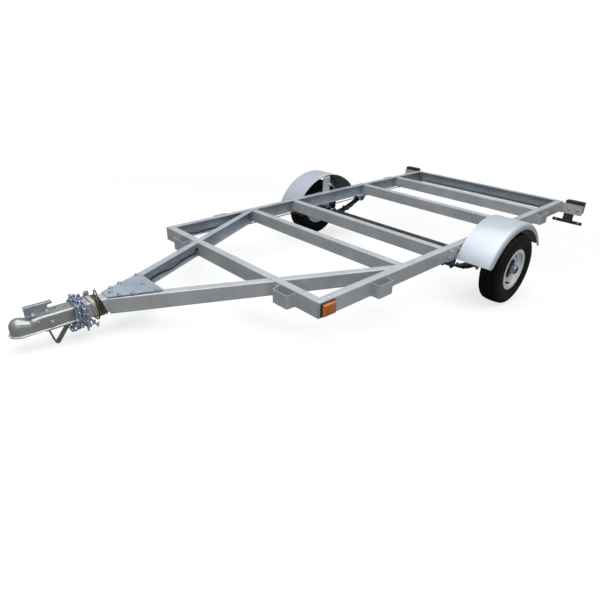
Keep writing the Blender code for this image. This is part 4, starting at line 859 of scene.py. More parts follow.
# Painted highlight: a pale copy of the galvanised steel for the coupler's rim, where its ledge catches the light from
# above.
HIGHLIGHT_LIP_STEEL = ZincCoat("lip_painted_highlight", "galvanised", (0.74, 0.75, 0.76), 0.34, 0.30, 110.0, 0.10, 0.3)
HOOK_ZINC = ZincCoat("hook_zinc", "zinc", (0.62, 0.64, 0.67), 0.36, 0.45, 120.0, 0.12, 0.4)
STRAP_STEEL = ZincCoat("strap_steel", "galvanised", (0.24, 0.25, 0.26), 0.42, 0.60, 130.0, 0.14, 0.4)
CHAIN_ZINC = BrightZinc("chain_zinc", "zinc", (0.44, 0.50, 0.64), 0.26, 0.85, (0.20, 0.22, 0.30))
BOLT_ZINC = BrightZinc("bolt_zinc", "zinc", (0.52, 0.54, 0.57), 0.32, 0.70)
LATCH_ZINC = BrightZinc("latch_zinc", "zinc", (0.38, 0.41, 0.45), 0.32, 0.75, (0.26, 0.27, 0.29))
CAP_ZINC = BrightZinc("cap_zinc", "zinc", (0.34, 0.41, 0.52), 0.26, 0.75, (0.06, 0.07, 0.10))
DARK_STEEL = BrightZinc("dark_steel", "zinc", (0.028, 0.030, 0.038), 0.36, 0.50, (0.014, 0.015, 0.02))
BLACK_PAINT = Paint("axle_paint", "black_paint", (0.012, 0.012, 0.013), 0.42)
RIM_PAINT = Paint(
    "wheel_paint", "rim_paint", (0.80, 0.81, 0.82), 0.30, 0.0, (0.42, 0.40, 0.37), 0.22, (0.60, 0.60, 0.60)
)
TYRE = TyreRubber("tyre_rubber", "rubber", (0.003, 0.003, 0.0032), 0.62)
LOOM = Moulding("loom_vinyl", "rubber", (0.014, 0.014, 0.015), 0.45)
BLACK_PLASTIC = Moulding("lamp_case", "black_plastic", (0.016, 0.016, 0.017), 0.42)
AMBER_LENS = Lens("amber_lens", "amber", (0.72, 0.20, 0.025), 0.16, 0.0, (0.22, 0.045, 0.010))
RED_LENS = Lens("red_lens", "red", (0.62, 0.020, 0.016), 0.14, 0.0, (0.16, 0.004, 0.004))
WIRES = (
    Moulding("wire_white", "wire", (0.62, 0.60, 0.50), 0.38, 0.0, (0.45, 0.43, 0.34), 1200.0),
    Moulding("wire_brown", "wire", (0.055, 0.036, 0.018), 0.40, 0.0, (0.10, 0.07, 0.04), 1200.0),
    Moulding("wire_green", "wire", (0.020, 0.026, 0.012), 0.40, 0.0, (0.06, 0.065, 0.035), 1200.0),
    Moulding("wire_yellow", "wire", (0.42, 0.28, 0.06), 0.38, 0.0, (0.30, 0.22, 0.08), 1200.0),
)

PLUG_VINYL = Moulding("plug_vinyl", "wire", (0.30, 0.28, 0.22), 0.45, 0.0, (0.22, 0.20, 0.15))

NODE_FINISHES: dict[str, Finish] = {
    "galvanised": RAIL_STEEL,
    "fender_steel": FENDER_STEEL,
    "zinc": BOLT_ZINC,
    "black_paint": BLACK_PAINT,
    "rubber": LOOM,
    "rim_paint": RIM_PAINT,
    "amber": AMBER_LENS,
    "red": RED_LENS,
    "black_plastic": BLACK_PLASTIC,
    "wire": WIRES[0],
}
OWN_FINISHES: dict[str, Finish] = {
    "coupler": COUPLER_STEEL,
    "gusset_plate": GUSSET_STEEL,
    "lead_plug": PLUG_VINYL,
    "coupler_latch": LATCH_ZINC,
    "foot_strap": STRAP_STEEL,
    # Painted shade: the far rails, the rear rail and the right tongue bar get the cooler shaded copy of the rail steel.
    **dict.fromkeys(("rail_right_front", "rail_right_rear", "rail_rear", "tongue_bar_right"), SHADED_RAIL_STEEL),
    **dict.fromkeys(("spring_hanger_rear_left", "spring_hanger_rear_right"), RAIL_STEEL),
    **dict.fromkeys(("hub_left", "hub_right"), DARK_STEEL),
}


def dress_nodes() -> None:
    """Gives every solid the finish of its slot, or its own."""
    for row in frame["record"]["subparts"]:
        name = row["node"]
        node = frame["nodes"][name]
        finish = OWN_FINISHES.get(name, NODE_FINISHES[row["material_slot"]])
        for holder in node.material_slots:
            holder.material = finish.material()
        LOG.info("%s: %s", name, finish.label)


@dataclass
class Studio:
    """The pale floor, the plain soft light and the camera at the photo's angle."""

    floor_size: float = 80.0
    lens: float = 29.142
    film: float = 36.0
    eye: Point = (1.807186717, -1.245123070, 0.893526331)
    right: Point = (0.679614042, 0.733162984, 0.024429318)
    down: Point = (0.348359970, -0.293250890, -0.890308438)
    forward: Point = (-0.645577327, 0.613576364, -0.454702058)
    sky: Point = (0.335, 0.345, 0.355)
    soft_box: float = 325.0
    front_box: float = 11.0
    ground: Point = (0.235, 0.228, 0.218)
    pale: Point = (0.92, 0.92, 0.92)
    fade: tuple[float, ...] = (0.74, 1.0, 1.4, 3.6)

    def camera(self) -> None:
        """Sets the camera where the photo was taken."""
        data = bpy.data.cameras.new("camera")
        data.lens, data.sensor_width = self.lens, self.film
        data.clip_start, data.clip_end = 0.05, 200.0
        axes = Matrix((Vector(self.right), -Vector(self.down), -Vector(self.forward))).transposed().to_4x4()
        camera = bpy.data.objects.new("camera", data)
        bpy.context.scene.collection.objects.link(camera)
        camera.matrix_world = STANDING @ Matrix.Translation(self.eye) @ axes
        bpy.context.scene.camera = camera

    def world(self) -> None:
        """A plain world: white where it is seen, soft grey where it lights."""
        world = bpy.data.worlds.new("world")
        nodes = Nodes(world)
        light = nodes.tree.nodes["Background"]
        nodes.feed(light.inputs["Color"], self.sky)
        white = nodes.node("ShaderNodeBackground", {"Color": WHITE})
        nodes.ends_in("World Output", nodes.blended(nodes.seen(), light, white))
        bpy.context.scene.world = world

    def floor(self) -> None:
        """A wide pale floor that keeps the trailer's shadow and fades to white far from it."""
        Bench.only()
        bpy.ops.mesh.primitive_plane_add(size=self.floor_size, location=(0, 0, 0))
        floor = Bench.named("floor")
        with Bench.shaping(floor):
            bpy.ops.mesh.select_all(action="SELECT")
            bpy.ops.mesh.subdivide(number_cuts=3)
        paint = bpy.data.materials.new("floor_paint")
        nodes = Nodes(paint)
        nodes.tree.nodes.remove(nodes.tree.nodes["Principled BSDF"])
        dim = nodes.node("ShaderNodeBsdfDiffuse", {"Color": self.ground})
        pale = nodes.node("ShaderNodeBsdfDiffuse", {"Color": self.pale})
        glow = nodes.node("ShaderNodeEmission", {"Color": WHITE})
        place = nodes.node("ShaderNodeTexCoord").outputs["Object"]
        far = nodes.node("ShaderNodeVectorMath", {0: place}, operation="LENGTH").outputs["Value"]
        shown = nodes.blended(nodes.range(far, *self.fade), pale, glow)
        nodes.ends_in("Material Output", nodes.blended(nodes.seen(), dim, shown))
        floor.data.materials.append(paint)

    def lights(self) -> None:
        """One large soft box overhead, and a weak one from the front left."""
        for name, power, tint, size, place, aim in (
            ("soft_box", self.soft_box, (0.95, 0.98, 1.0), 6.0, (0.6, -0.8, 4.2), (0.0, 0.0, 0.0)),
            ("front_box", self.front_box, (1.0, 0.985, 0.96), 3.0, (3.4, -3.4, 2.0), (0.0, -0.3, 0.3)),
        ):
            data = bpy.data.lights.new(name, "AREA")
            data.energy, data.size, data.color = power, size, tint
            lamp = bpy.data.objects.new(name, data)
            bpy.context.scene.collection.objects.link(lamp)
            lamp.location = place
            lamp.rotation_euler = (Vector(aim) - Vector(place)).to_track_quat("-Z", "Y").to_euler()

    def build(self) -> None:
        """Sets up the whole studio."""
        bpy.context.scene.view_settings.view_transform = "Standard"
        self.camera()
        self.world()
        self.floor()
        self.lights()
        LOG.info("studio ready")


@dataclass
class LampLead:
    """The lamp lead: four wires side by side, wound on the beam, with a free loop and a flat plug."""

    length: float = 2.09
    diameter: float = 0.0064
    wire: float = 0.00150
    spread: float = 0.00165
    half: float = 0.0361
    corner: float = 0.0128
    middle: float = -0.03175
    front: float = -0.6822
    pitch: float = 0.0078
    turns: float = 6.36
    tilt: float = 0.05
    fan: float = 0.036
    lead_in: float = 0.035
    stride: float = 0.0095
    slack: float = 0.0007
    waver: float = 0.0005
    spacing: float = 0.0065
    rolls: tuple[Point, ...] = ((0.36, 0.10, 0.25), (0.64, 0.18, 0.75))
    sway: float = 0.30
    sway_rate: float = 33.0
    exit: Point = (0.0, -0.6267, -0.0690)
    entry: tuple[Point, ...] = (
        (0.0, -0.6267, -0.0690), (0.0025, -0.6360, -0.0765), (0.0085, -0.6480, -0.0770), (0.0130, -0.6600, -0.0762),
        (0.0125, -0.6720, -0.0735), (0.0040, -0.6810, -0.0700),
    )
    loop: tuple[Point, ...] = (
        (-0.0325, -0.6455, 0.0045), (-0.0250, -0.6475, 0.0145), (-0.0150, -0.6495, 0.0250), (-0.0030, -0.6510, 0.0332),
        (0.0110, -0.6530, 0.0366), (0.0270, -0.6555, 0.0306), (0.0400, -0.6580, 0.0166), (0.0470, -0.6605, -0.0049),
        (0.0468, -0.6625, -0.0279), (0.0462, -0.6640, -0.0509), (0.0405, -0.6650, -0.0689), (0.0280, -0.6660, -0.0789),
        (0.0100, -0.6670, -0.0809), (-0.0100, -0.6680, -0.0804), (-0.0280, -0.6690, -0.0789),
        (-0.0430, -0.6700, -0.0689), (-0.0475, -0.6715, -0.0509), (-0.0468, -0.6720, -0.0369),
    )
    plug: Point = (-0.0468, -0.6720, 0.0114)

    def winding(self) -> list[Vector]:
        """The turns round the beam, from under its front end back to the free loop.

        Returns:
            The points of the cord's middle line.
        """
        corner, half = self.corner, self.half
        square = rounded([(-half, -half, corner), (-half, half, corner), (half, half, corner), (half, -half, corner)])
        ring = [Vector((0.0, -half)), *[Vector(spot) for spot in square], Vector((0.0, -half))]
        round_length = length_of(ring)
        chance = random.Random(7)
        path, gone = [], self.lead_in
        while gone < self.turns * round_length:
            left = gone % round_length
            for here, ahead in zip(ring, ring[1:]):
                step = (ahead - here).length
                if left <= step:
                    spot = here.lerp(ahead, left / step)
                    break
                left -= step
            out = spot + spot.normalized() * chance.uniform(0.0, self.slack)
            turn = gone / round_length
            lean = self.tilt + self.fan * turn
            station = self.front + self.pitch * turn - lean * out.y + chance.uniform(-self.waver, self.waver)
            path.append(Vector((out.x, station, self.middle + out.y)))
            gone += self.stride
        return path

    def route(self) -> list[Vector]:
        """The points of the whole cord's middle line, from the grommet to the plug."""
        return smooth_through([*self.entry, *self.winding(), *self.loop], self.spacing)

    def strands(self, path: Sequence[Vector]) -> bpy.types.Object:
        """Four wires round the cord's middle line, the pale ones outside at first and the dark ones later.

        Args:
            path: the middle line.

        Returns:
            The four wires as one piece.
        """
        made = []
        axis = Vector((0.0, 0.0, self.middle))
        gone = 0.0
        frames = []
        for index, spot in enumerate(path):
            before, after = path[max(0, index - 1)], path[min(len(path) - 1, index + 1)]
            gone += (spot - before).length
            ahead = (after - before).normalized()
            out = spot - axis
            out.y = 0.0
            out = (out - ahead * out.dot(ahead)).normalized()
            share = sum(part * min(1.0, max(0.0, (gone - start) / over)) for start, over, part in self.rolls)
            turn = math.pi * share + self.sway * math.sin(gone * self.sway_rate)
            frames.append((spot, out, ahead.cross(out), turn))
        for index, finish in enumerate(WIRES):
            base = (0.25 + 0.5 * index) * math.pi
            line = [
                spot + out * (math.cos(base + turn) * self.spread) + across * (math.sin(base + turn) * self.spread)
                for spot, out, across, turn in frames
            ]
            wire = Bench.tube(f"wire_{index}", line, self.wire)
            wire.data.materials.append(finish.material())
            made.append(wire)
        return Bench.joined("lamp_lead", *made)

    def plug_pins(self) -> bpy.types.Object:
        """The plug's bare pin and its three shrouded ones.

        Returns:
            The pins.
        """
        x, y, z = self.plug
        rods = []
        for offset, radius, reach, tip, finish in (
            (-0.0080, 0.0013, 0.0105, 0.0008, BOLT_ZINC),
            (-0.0027, 0.0023, 0.0085, -0.003, PLUG_VINYL),
            (0.0027, 0.0023, 0.0085, -0.003, PLUG_VINYL),
            (0.0080, 0.0023, 0.0085, -0.003, PLUG_VINYL),
        ):
            ring = [Vector((x + radius * math.cos(a), y + offset + radius * math.sin(a), z - 0.0005))
                    for a in (math.tau * k / 12 for k in range(12))]
            rod = Bench.pulled("pin", ring, Vector((0, 0, reach)))
            with Bench.shaping(rod):
                Bench.pick_end(rod, UP)
                bpy.ops.mesh.inset(thickness=radius * 0.35)
                bpy.ops.transform.translate(value=(0, 0, tip))
            rod.data.materials.append(finish.material())
            rods.append(rod)
        return Bench.joined("lead_plug_pins", *rods)

    def build(self) -> None:
        path = self.route()
        lead = self.strands(path)
        Bench.settled(lead, WIRES[0], smooth=60.0, stands_for=("lead_coil", "lead_tail"))
        pins = Bench.settled(self.plug_pins(), PLUG_VINYL)
        LOG.info("lamp lead: %.3f m", length_of(path))


@dataclass
class SafetyChain:
    """The chain wound on the coupler's tail, and the two hooks that hang from it."""

    wire: float = 0.0029
    inner: float = 0.026
    half_width: float = 0.00775
    weld: float = 1.16
    gap: float = 0.0003
    room: float = 0.0055
    steps: int = 180
    pitch: float = 0.0269
    front: float = -0.7505
    turn_pitch: float = 0.0220
    first_turns: float = 2.0
    climb_turns: float = 0.30
    turns: float = 2.49
    start: float = math.radians(250.0)
    return_pitch: float = 0.040
    layer: float = 0.0188
    reach: float = 0.008230
    outer_front: float = -0.7560
    outer_turns: float = 1.60
    outer_layer: float = 0.0085
    outer_lean: float = 0.26
    stray: float = 0.16
    outer_stray: float = 0.45
    hook_rod: float = 0.0042
    hook_radius: float = 0.021
    hook_shank: float = 0.030
    hook_tip: float = 0.016

    def joints(self) -> list[Vector]:
        """Where each link meets the next, back along the coupler and over itself.

        Returns:
            The joints in order.
        """
        return self.wound(self.front, self.turns, 0.0)

    def wound(self, front: float, total: float, raised: float) -> list[Vector]:
        """The joints of one strand.

        Args:
            front: the station of its first joint.
            total: how many turns it makes.
            raised: how far it lies above the lowest layer.

        Returns:
            The joints in order.
        """
        low = BEAM_BOTTOM - self.gap - self.reach - self.room
        high = COUPLER_TOP + 0.0032 + self.reach
        wide = COUPLER_SIDE + 0.006 + self.reach + self.room
        steps = round(total * self.steps)
        found: list[Vector] = []
        for step in range(steps + 1):
            turns = total * step / steps
            back = max(0.0, turns - self.first_turns)
            climb = min(1.0, back / self.climb_turns)
            grown = raised + self.layer * climb * climb * (3 - 2 * climb)
            angle = self.start + math.tau * turns
            sine, cosine = math.sin(angle), math.cos(angle)
            x = math.copysign(math.sqrt(abs(cosine)), cosine) * (wide + grown)
            z = (high + low) / 2 + math.copysign(math.sqrt(abs(sine)), sine) * ((high - low) / 2 + grown)
            y = front + min(turns, self.first_turns) * self.turn_pitch - back * self.return_pitch
            spot = Vector((x, y, z))
            if not found:
                found.append(spot)
            elif (spot - found[-1]).length >= self.pitch:
                found.append(found[-1] + (spot - found[-1]).normalized() * self.pitch)
        return found

    def link(self) -> bpy.types.Object:
        """One long oval link of round wire with its weld.

        Returns:
            The link at the origin, its length along X.
        """
        Bench.only()
        bpy.ops.mesh.primitive_torus_add(
            major_segments=20, minor_segments=9, major_radius=self.half_width, minor_radius=self.wire
        )
        link = Bench.named("link")
        reach = self.inner / 2 + self.wire - self.half_width
        with Bench.shaping(link, Pick.VERTS):
            for way in (1.0, -1.0):
                Bench.pick(link, Pick.VERTS, lambda middle, normal: middle.x * way > 0.0004)
                bpy.ops.transform.translate(value=(reach * way, 0, 0))
            Bench.pick(link, Pick.VERTS, lambda middle, normal: abs(middle.x) < 0.0004 and middle.y > 0)
            bpy.ops.transform.resize(value=(1.0, self.weld, self.weld), center_override=(0, self.half_width, 0))
        return link

    def places(self, joints: Sequence[Vector], lean: float, stray: float) -> list[Matrix]:
        """Where each link lies, leaning one way and the other in turn.

        Args:
            joints: where the links meet.
            lean: how far its lower part lies ahead of its upper part.
            stray: how far a link may turn away from its even lay, in radians.

        Returns:
            One place for each link.
        """
        middle = Vector((0.0, 0.0, (COUPLER_TOP + BEAM_BOTTOM) / 2))
        chance = random.Random(23)
        spots = [spot + Vector((0.0, lean * (spot.z - middle.z), 0.0)) for spot in joints]
        found = []
        for index, (first, second) in enumerate(zip(spots, spots[1:])):
            ahead = (second - first).normalized()
            out = (first + second) / 2 - middle
            out.y = 0.0
            side = (out - ahead * out.dot(ahead)).normalized()
            turn = math.pi / 4 * (1 if index % 2 else -1) + chance.uniform(-stray, stray)
            side.rotate(Matrix.Rotation(turn, 3, ahead))
            axes = Matrix((ahead, side, ahead.cross(side))).transposed().to_4x4()
            found.append(Matrix.Translation((first + second) / 2) @ axes)
        return found

    def hook(self, side: Side, turn: float, lift: float, joints: Sequence[Vector]) -> bpy.types.Object:
        """A bent rod hook with a closed eye and a tapered tip.

        Args:
            side: the side that it hangs on.
            turn: its turn about the upright axis, in radians.
            lift: how far its top reaches up between the links.
            joints: the chain's joints, which say how low it hangs.

        Returns:
            The hook in the level frame.
        """
        radius, rod = self.hook_radius, self.hook_rod
        about = Matrix.Translation((0.020 * side.value, -0.709 + radius, 0.0)) @ Matrix.Rotation(turn, 4, "Z")
        eye = about @ Vector((0.0, -radius, 0.0))
        near = [joint.z for joint in joints if (joint - eye).xy.length < self.inner]
        top = min(near) - self.reach - self.gap + lift
        low = top - self.hook_shank
        Bench.only()
        bpy.ops.mesh.primitive_circle_add(vertices=12, radius=rod, fill_type="NGON", location=(0.0, -radius, top))
        hook = Bench.named(f"chain_hook_{side.label}_rod")
        Bench.freeze(hook)
        with Bench.shaping(hook):
            bpy.ops.mesh.select_all(action="SELECT")
            Bench.extrude(0, 0, low - top)
            bpy.ops.mesh.spin(steps=14, angle=math.pi, center=(0, 0, low), axis=(1, 0, 0))
            for rise in (0.7, 0.4):
                Bench.extrude(0, self.hook_tip * 0.2, self.hook_tip * rise)
            bpy.ops.transform.resize(value=(0.62, 0.62, 0.62))
            Bench.turn_outwards()
        Bench.only()
        bpy.ops.mesh.primitive_torus_add(
            major_segments=20, minor_segments=8, major_radius=0.0075, minor_radius=0.0036,
            location=(0.0, -radius, top - 0.001), rotation=(0.0, math.pi / 2, 0.0),
        )
        hook = Bench.joined(hook.name, Bench.named("hook_eye"), hook)
        hook.matrix_world = about @ hook.matrix_world
        return Bench.freeze(hook)

    def build(self) -> None:
        """Winds the chain and hangs the hooks."""
        joints = self.joints()
        outer = self.wound(self.outer_front, self.outer_turns, self.outer_layer)
        places = [*self.places(joints, 0.0, self.stray), *self.places(outer, self.outer_lean, self.outer_stray)]
        chain = Bench.copies("safety_chain_links", self.link(), places)
        Bench.settled(chain, CHAIN_ZINC, smooth=60.0, stands_for=("safety_chains",))
        for side, turn, lift in ((Side.LEFT, math.radians(12.0), 0.004), (Side.RIGHT, math.radians(-48.0), 0.0070)):
            hook = self.hook(side, turn, lift, joints)
            Bench.settled(hook, HOOK_ZINC, smooth=50.0, stands_for=(f"chain_hook_{side.label}",))


@dataclass(frozen=True)
class Fastener:
    """Small hardware that is modelled once and set in several places."""

    def model(self) -> bpy.types.Object:
        """The visible end, its foot at the origin and its head along Z."""
        raise NotImplementedError

    def fit(
        self,
        name: str,
        places: Sequence[Matrix],
        finish: Finish,
        smooth: float = 35.0,
        body: str = "frame",
        place: Matrix = STANDING,
    ) -> None:
        """Sets a copy in each place and ends them as one piece.

        Args:
            name: the piece's name.
            places: where the copies go.
            finish: their finish.
            smooth: edges flatter than this many degrees are shaded smooth.
            body: the body that they ride on.
            place: from the drawing's axes to where they stand.
        """
        piece = Bench.copies(name, self.model(), places)
        Bench.settled(piece, finish, body=body, place=place, smooth=smooth)


@dataclass(frozen=True)
class HexBolt(Fastener):
    """A hexagon head on a washer, or a nut on its stud."""

    across: float = 0.0165
    head: float = 0.0066
    washer: float = 0.0018
    washer_radius: float = 0.0115
    stud: float = 0.0
    stud_radius: float = 0.0048

    def model(self) -> bpy.types.Object:
        """The bolt's visible end, its foot at the origin and its head along Z.

        Returns:
            The model.
        """
        bolt = Bench.drum("bolt", 6, self.across / math.sqrt(3), self.washer, self.head)
        with Bench.shaping(bolt):
            Bench.pick_end(bolt, UP)
            bpy.ops.mesh.bevel(offset=self.across * 0.09, segments=1, affect="EDGES")
            Bench.pick_end(bolt, UP)
            bpy.ops.mesh.inset(thickness=self.across * 0.10)
            bpy.ops.transform.translate(value=(0, 0, -self.head * 0.06))
        parts = [bolt]
        if self.washer > 0:
            washer = Bench.drum("washer", 18, self.washer_radius, 0.0, self.washer)
            parts.append(Bench.bevelled(washer, self.washer * 0.3, 1))
        if self.stud > 0:
            sunk = 0.002
            stud = Bench.drum("stud", 12, self.stud_radius, self.washer + self.head - sunk, self.stud + sunk)
            parts.append(Bench.bevelled(stud, self.stud_radius * 0.25, 1))
        return Bench.joined("bolt", *parts)


@dataclass(frozen=True)
class RoundHead(Fastener):
    """A low domed head, as on a carriage bolt or a rivet."""

    radius: float = 0.0075
    height: float = 0.0032

    def model(self) -> bpy.types.Object:
        """The head, its flat foot at the origin and its crown along Z.

        Returns:
            The model.
        """
        Bench.only()
        bpy.ops.mesh.primitive_uv_sphere_add(segments=16, ring_count=10, radius=self.radius)
        head = Bench.named("head")
        with Bench.shaping(head, Pick.VERTS):
            bpy.ops.mesh.select_all(action="SELECT")
            bpy.ops.mesh.bisect(plane_co=(0, 0, 0), plane_no=UP, clear_inner=True, use_fill=True)
            bpy.ops.mesh.select_all(action="SELECT")
            bpy.ops.transform.resize(value=(1, 1, self.height / self.radius), center_override=(0, 0, 0))
            Bench.turn_outwards()
        return head


Seam = tuple[Point, Point, Point]


@dataclass(frozen=True)
class WeldBead:
    """A weld: a row of flat drops that lie over each other."""

    radius: float = 0.0034
    step: float = 0.0042

    def drop(self) -> bpy.types.Object:
        """One flat drop of weld metal, tapered back along Y."""
        Bench.only()
        bpy.ops.mesh.primitive_uv_sphere_add(segments=8, ring_count=5, radius=self.radius)
        drop = Bench.named("drop")
        with Bench.shaping(drop, Pick.VERTS):
            Bench.pick(drop, Pick.VERTS, lambda middle, normal: middle.y < 0)
            bpy.ops.transform.resize(value=(1.0, 1.25, 1.0), center_override=(0, 0, 0))
            bpy.ops.mesh.select_all(action="SELECT")
            bpy.ops.transform.resize(value=(1.15, 0.85, 0.50), center_override=(0, 0, 0))
        return drop

    def lay(self, name: str, seams: Sequence[Seam], finish: Finish) -> None:
        """Lays beads along straight seams.

        Args:
            name: the piece's name.
            seams: a start, an end and the way that the drops face, for each seam.
            finish: the beads' finish.
        """
        chance = random.Random(11)
        places = []
        for start, end, normal in seams:
            first, last = Vector(start), Vector(end)
            out = Vector(normal).normalized()
            ahead = (last - first).normalized()
            axes = Matrix((ahead.cross(out), ahead, out)).transposed().to_4x4()
            count = max(2, round((last - first).length / self.step))
            for index in range(count):
                spot = first.lerp(last, index / (count - 1))
                size = chance.uniform(0.88, 1.12)
                places.append(Matrix.Translation(spot) @ axes @ Matrix.Diagonal((size, 1.0, size, 1.0)))
        Bench.settled(Bench.copies(name, self.drop(), places), finish, smooth=60.0)


FRAME_BOLT = HexBolt(0.0130, 0.0050, 0.0014, 0.0092)


def both_sides(spots: Sequence[Point]) -> list[Point]:
    """The same spots on both sides of the trailer."""
    return [(side.value * x, y, z) for side in Side for x, y, z in spots]


def upright(x: float, y: float, low: float, high: float, out: Point) -> Seam:
    """An upright seam at a place, from its lower end to its upper one."""
    return (x, y, low), (x, y, high), out


@dataclass
class CouplerHead:
    """The coupler's bolts and rivets, flat dark discs of painted shade in its top holes, its rolled rim with a painted
    highlight, its ball jaw and its weld.
    """

    top: float = COUPLER_TOP
    side: float = COUPLER_SIDE
    rim: float = -0.0515
    rim_rod: float = 0.0031
    rim_stations: tuple[float, ...] = (-0.7165, -0.76, -0.80, -0.84, -0.8700)
    ball: float = -0.938
    nose: float = 0.0367
    nose_steps: int = 24
    jaw_half: float = 0.015
    jaw_outline: tuple[Point, ...] = (
        (-0.905, -0.0300, 0.004), (-0.905, -0.0480, 0.006), (-0.870, -0.0510, 0.004), (-0.852, -0.0400, 0.004),
        (-0.852, -0.0180, 0.003), (-0.870, -0.0180, 0.003),
    )

    def fasteners(self) -> None:
        """Sets the bolts and rivets into the coupler, and flat dark discs on its top as painted shade in its holes."""
        places = [facing((way * self.side, -0.8342, -0.0300), (way, 0, 0), 0.3) for way in (1, -1)]
        HexBolt(0.0160, 0.0080, 0.0018, 0.0110).fit("coupler_side_bolts", places, LATCH_ZINC)
        places = [facing((way * self.side, -0.8784, -0.0150), (way, 0, 0)) for way in (1, -1)]
        RoundHead(0.0055, 0.0024).fit("coupler_rivets", places, BOLT_ZINC, 60.0)
        # Painted shade: flat dark discs stand for the shade inside two holes in the coupler's top.
        places = [facing((x, y, self.top), UP) for x, y in ((-0.0051, -0.8040), (0.0009, -0.7699))]
        RoundHead(0.0050, 0.0008).fit("coupler_top_hole_shades", places, DARK_STEEL, 60.0)
        places = [facing((0.0095, y, 0.0079), UP) for y in (-0.8386, -0.8880)]
        HexBolt(0.0110, 0.0055, 0.0012, 0.0080, 0.004, 0.0030).fit("latch_bolt", places, BOLT_ZINC)

    def lip(self) -> None:
        """Rolls the rim round the skirt's lower edge, past the dome; its pale finish is a painted highlight where the
        ledge catches the light.
        """
        side = [Vector((self.side + 0.0004, station, self.rim)) for station in self.rim_stations]
        bow = [math.pi * step / self.nose_steps for step in range(self.nose_steps + 1)]
        path = side + [Vector((self.nose * math.cos(a), self.ball - self.nose * math.sin(a), self.rim)) for a in bow]
        path += [Vector((-spot.x, spot.y, spot.z)) for spot in reversed(side)]
        Bench.settled(Bench.tube("coupler_rim", path, self.rim_rod, 10), HIGHLIGHT_LIP_STEEL, smooth=60.0)

    def jaw(self) -> None:
        """Makes the clamp that holds the ball from below, with its nut."""
        jaw = Bench.slab("ball_jaw", rounded(self.jaw_outline), Axis.X, -self.jaw_half, 2 * self.jaw_half)
        Bench.settled(Bench.bevelled(jaw, 0.0015), STRAP_STEEL)
        places = [facing((0.0, -0.8660, -0.0505), DOWN)]
        HexBolt(0.0190, 0.0095, 0.0020, 0.0125, 0.010, 0.0055).fit("jaw_nut", places, BOLT_ZINC)

    def tail_weld(self) -> None:
        """Welds the coupler's tail to the beam."""
        half = BEAM_HALF + 0.001
        seams = [upright(way * half, -0.7155, BEAM_BOTTOM + 0.018, -0.004, (way, 0.8, 0)) for way in (1, -1)]
        seams.append(((-0.028, -0.7150, 0.0018), (0.028, -0.7150, 0.0018), (0, 0.8, 1)))
        WeldBead(0.0030, 0.0040).lay("coupler_welds", seams, STRAP_STEEL)

    def build(self) -> None:
        """Builds all of it."""
        self.fasteners()
        self.lip()
        self.jaw()
        self.tail_weld()


@dataclass
class TongueJoint:
    """What ties the tongue together: the gusset's bolts and the welds, and the rubbers round its wires."""

    upper: tuple[Point, ...] = (
        (0.0407, -0.5720, GUSSET_TOP), (0.0600, -0.5250, GUSSET_TOP), (0.0930, -0.4330, GUSSET_TOP)
    )
    centre: tuple[Point, ...] = ((0.0, -0.5900, GUSSET_TOP), (0.0041, -0.4510, GUSSET_TOP))
    wire_hole: Point = (0.33768, 0.0200, -0.0599)
    web: float = 0.0030
    web_normal: tuple[float, float] = (0.9016, 0.4326)

    def bolts(self) -> None:
        """Bolts the gusset plate to the bars and the beam, with nuts underneath."""
        spots = [*both_sides(self.upper), *self.centre]
        places = [facing(spot, UP, 0.2 * index) for index, spot in enumerate(spots)]
        HexBolt(0.0150, 0.0058, 0.0016, 0.0105).fit("gusset_bolts", places, LATCH_ZINC)
        places = [facing((x, y, -0.0062), DOWN, 0.3) for x, y, _ in both_sides(self.upper[1:])]
        HexBolt(0.0150, 0.0070, 0.0016, 0.0105, 0.004).fit("gusset_nuts", places, BOLT_ZINC)
        # Painted shade: flat dark discs stand for the shade inside two holes in the gusset plate and a bar.
        places = [facing((-0.1060, -0.4270, GUSSET_TOP), UP), facing((-0.0588, -0.3965, -0.0033), UP)]
        RoundHead(0.0048, 0.0006).fit("bar_hole_shades", places, DARK_STEEL)

    def welds(self) -> None:
        """Welds the bars to the beam's sides and into the front rail."""
        low, high = BEAM_BOTTOM + 0.004, -0.006
        inner, outer, face = TONGUE_HALF_SPREAD - 0.040, TONGUE_HALF_SPREAD + 0.003, -0.0012
        seams = []
        for way in (1, -1):
            seams.append(upright(way * (BEAM_HALF + 0.0008), TONGUE_APEX + 0.0010, low, high, (way * 0.6, -1, 0)))
            seams.append(upright(way * BEAM_HALF, -0.4190, low, high, (way * 0.5, 1, 0)))
        for way in (1, -1):
            seams.append(upright(way * outer, face, -0.0710, -0.0060, (way * 0.6, -1, 0)))
            seams.append(((way * inner, face, -0.0745), (way * outer, face, -0.0745), (0, -1, -0.6)))
        WeldBead().lay("tongue_welds", seams, RAIL_STEEL)

    def grommets(self) -> None:
        """Fills the holes where the wires pass through the bars' webs with rubber."""
        x, y, z = self.wire_hole
        across, along = self.web_normal
        places = []
        for side in Side:
            for depth, out in ((0.0, 1.0), (self.web, -1.0)):
                spot = (side.value * (x - depth * across), y + depth * along, z)
                places.append(facing(spot, (side.value * out * across, -out * along, 0.0)))
        RoundHead(0.0122, 0.0030).fit("wire_grommets", places, LOOM, 60.0)

    def build(self) -> None:
        """Builds all of it."""
        self.bolts()
        self.welds()
        self.grommets()


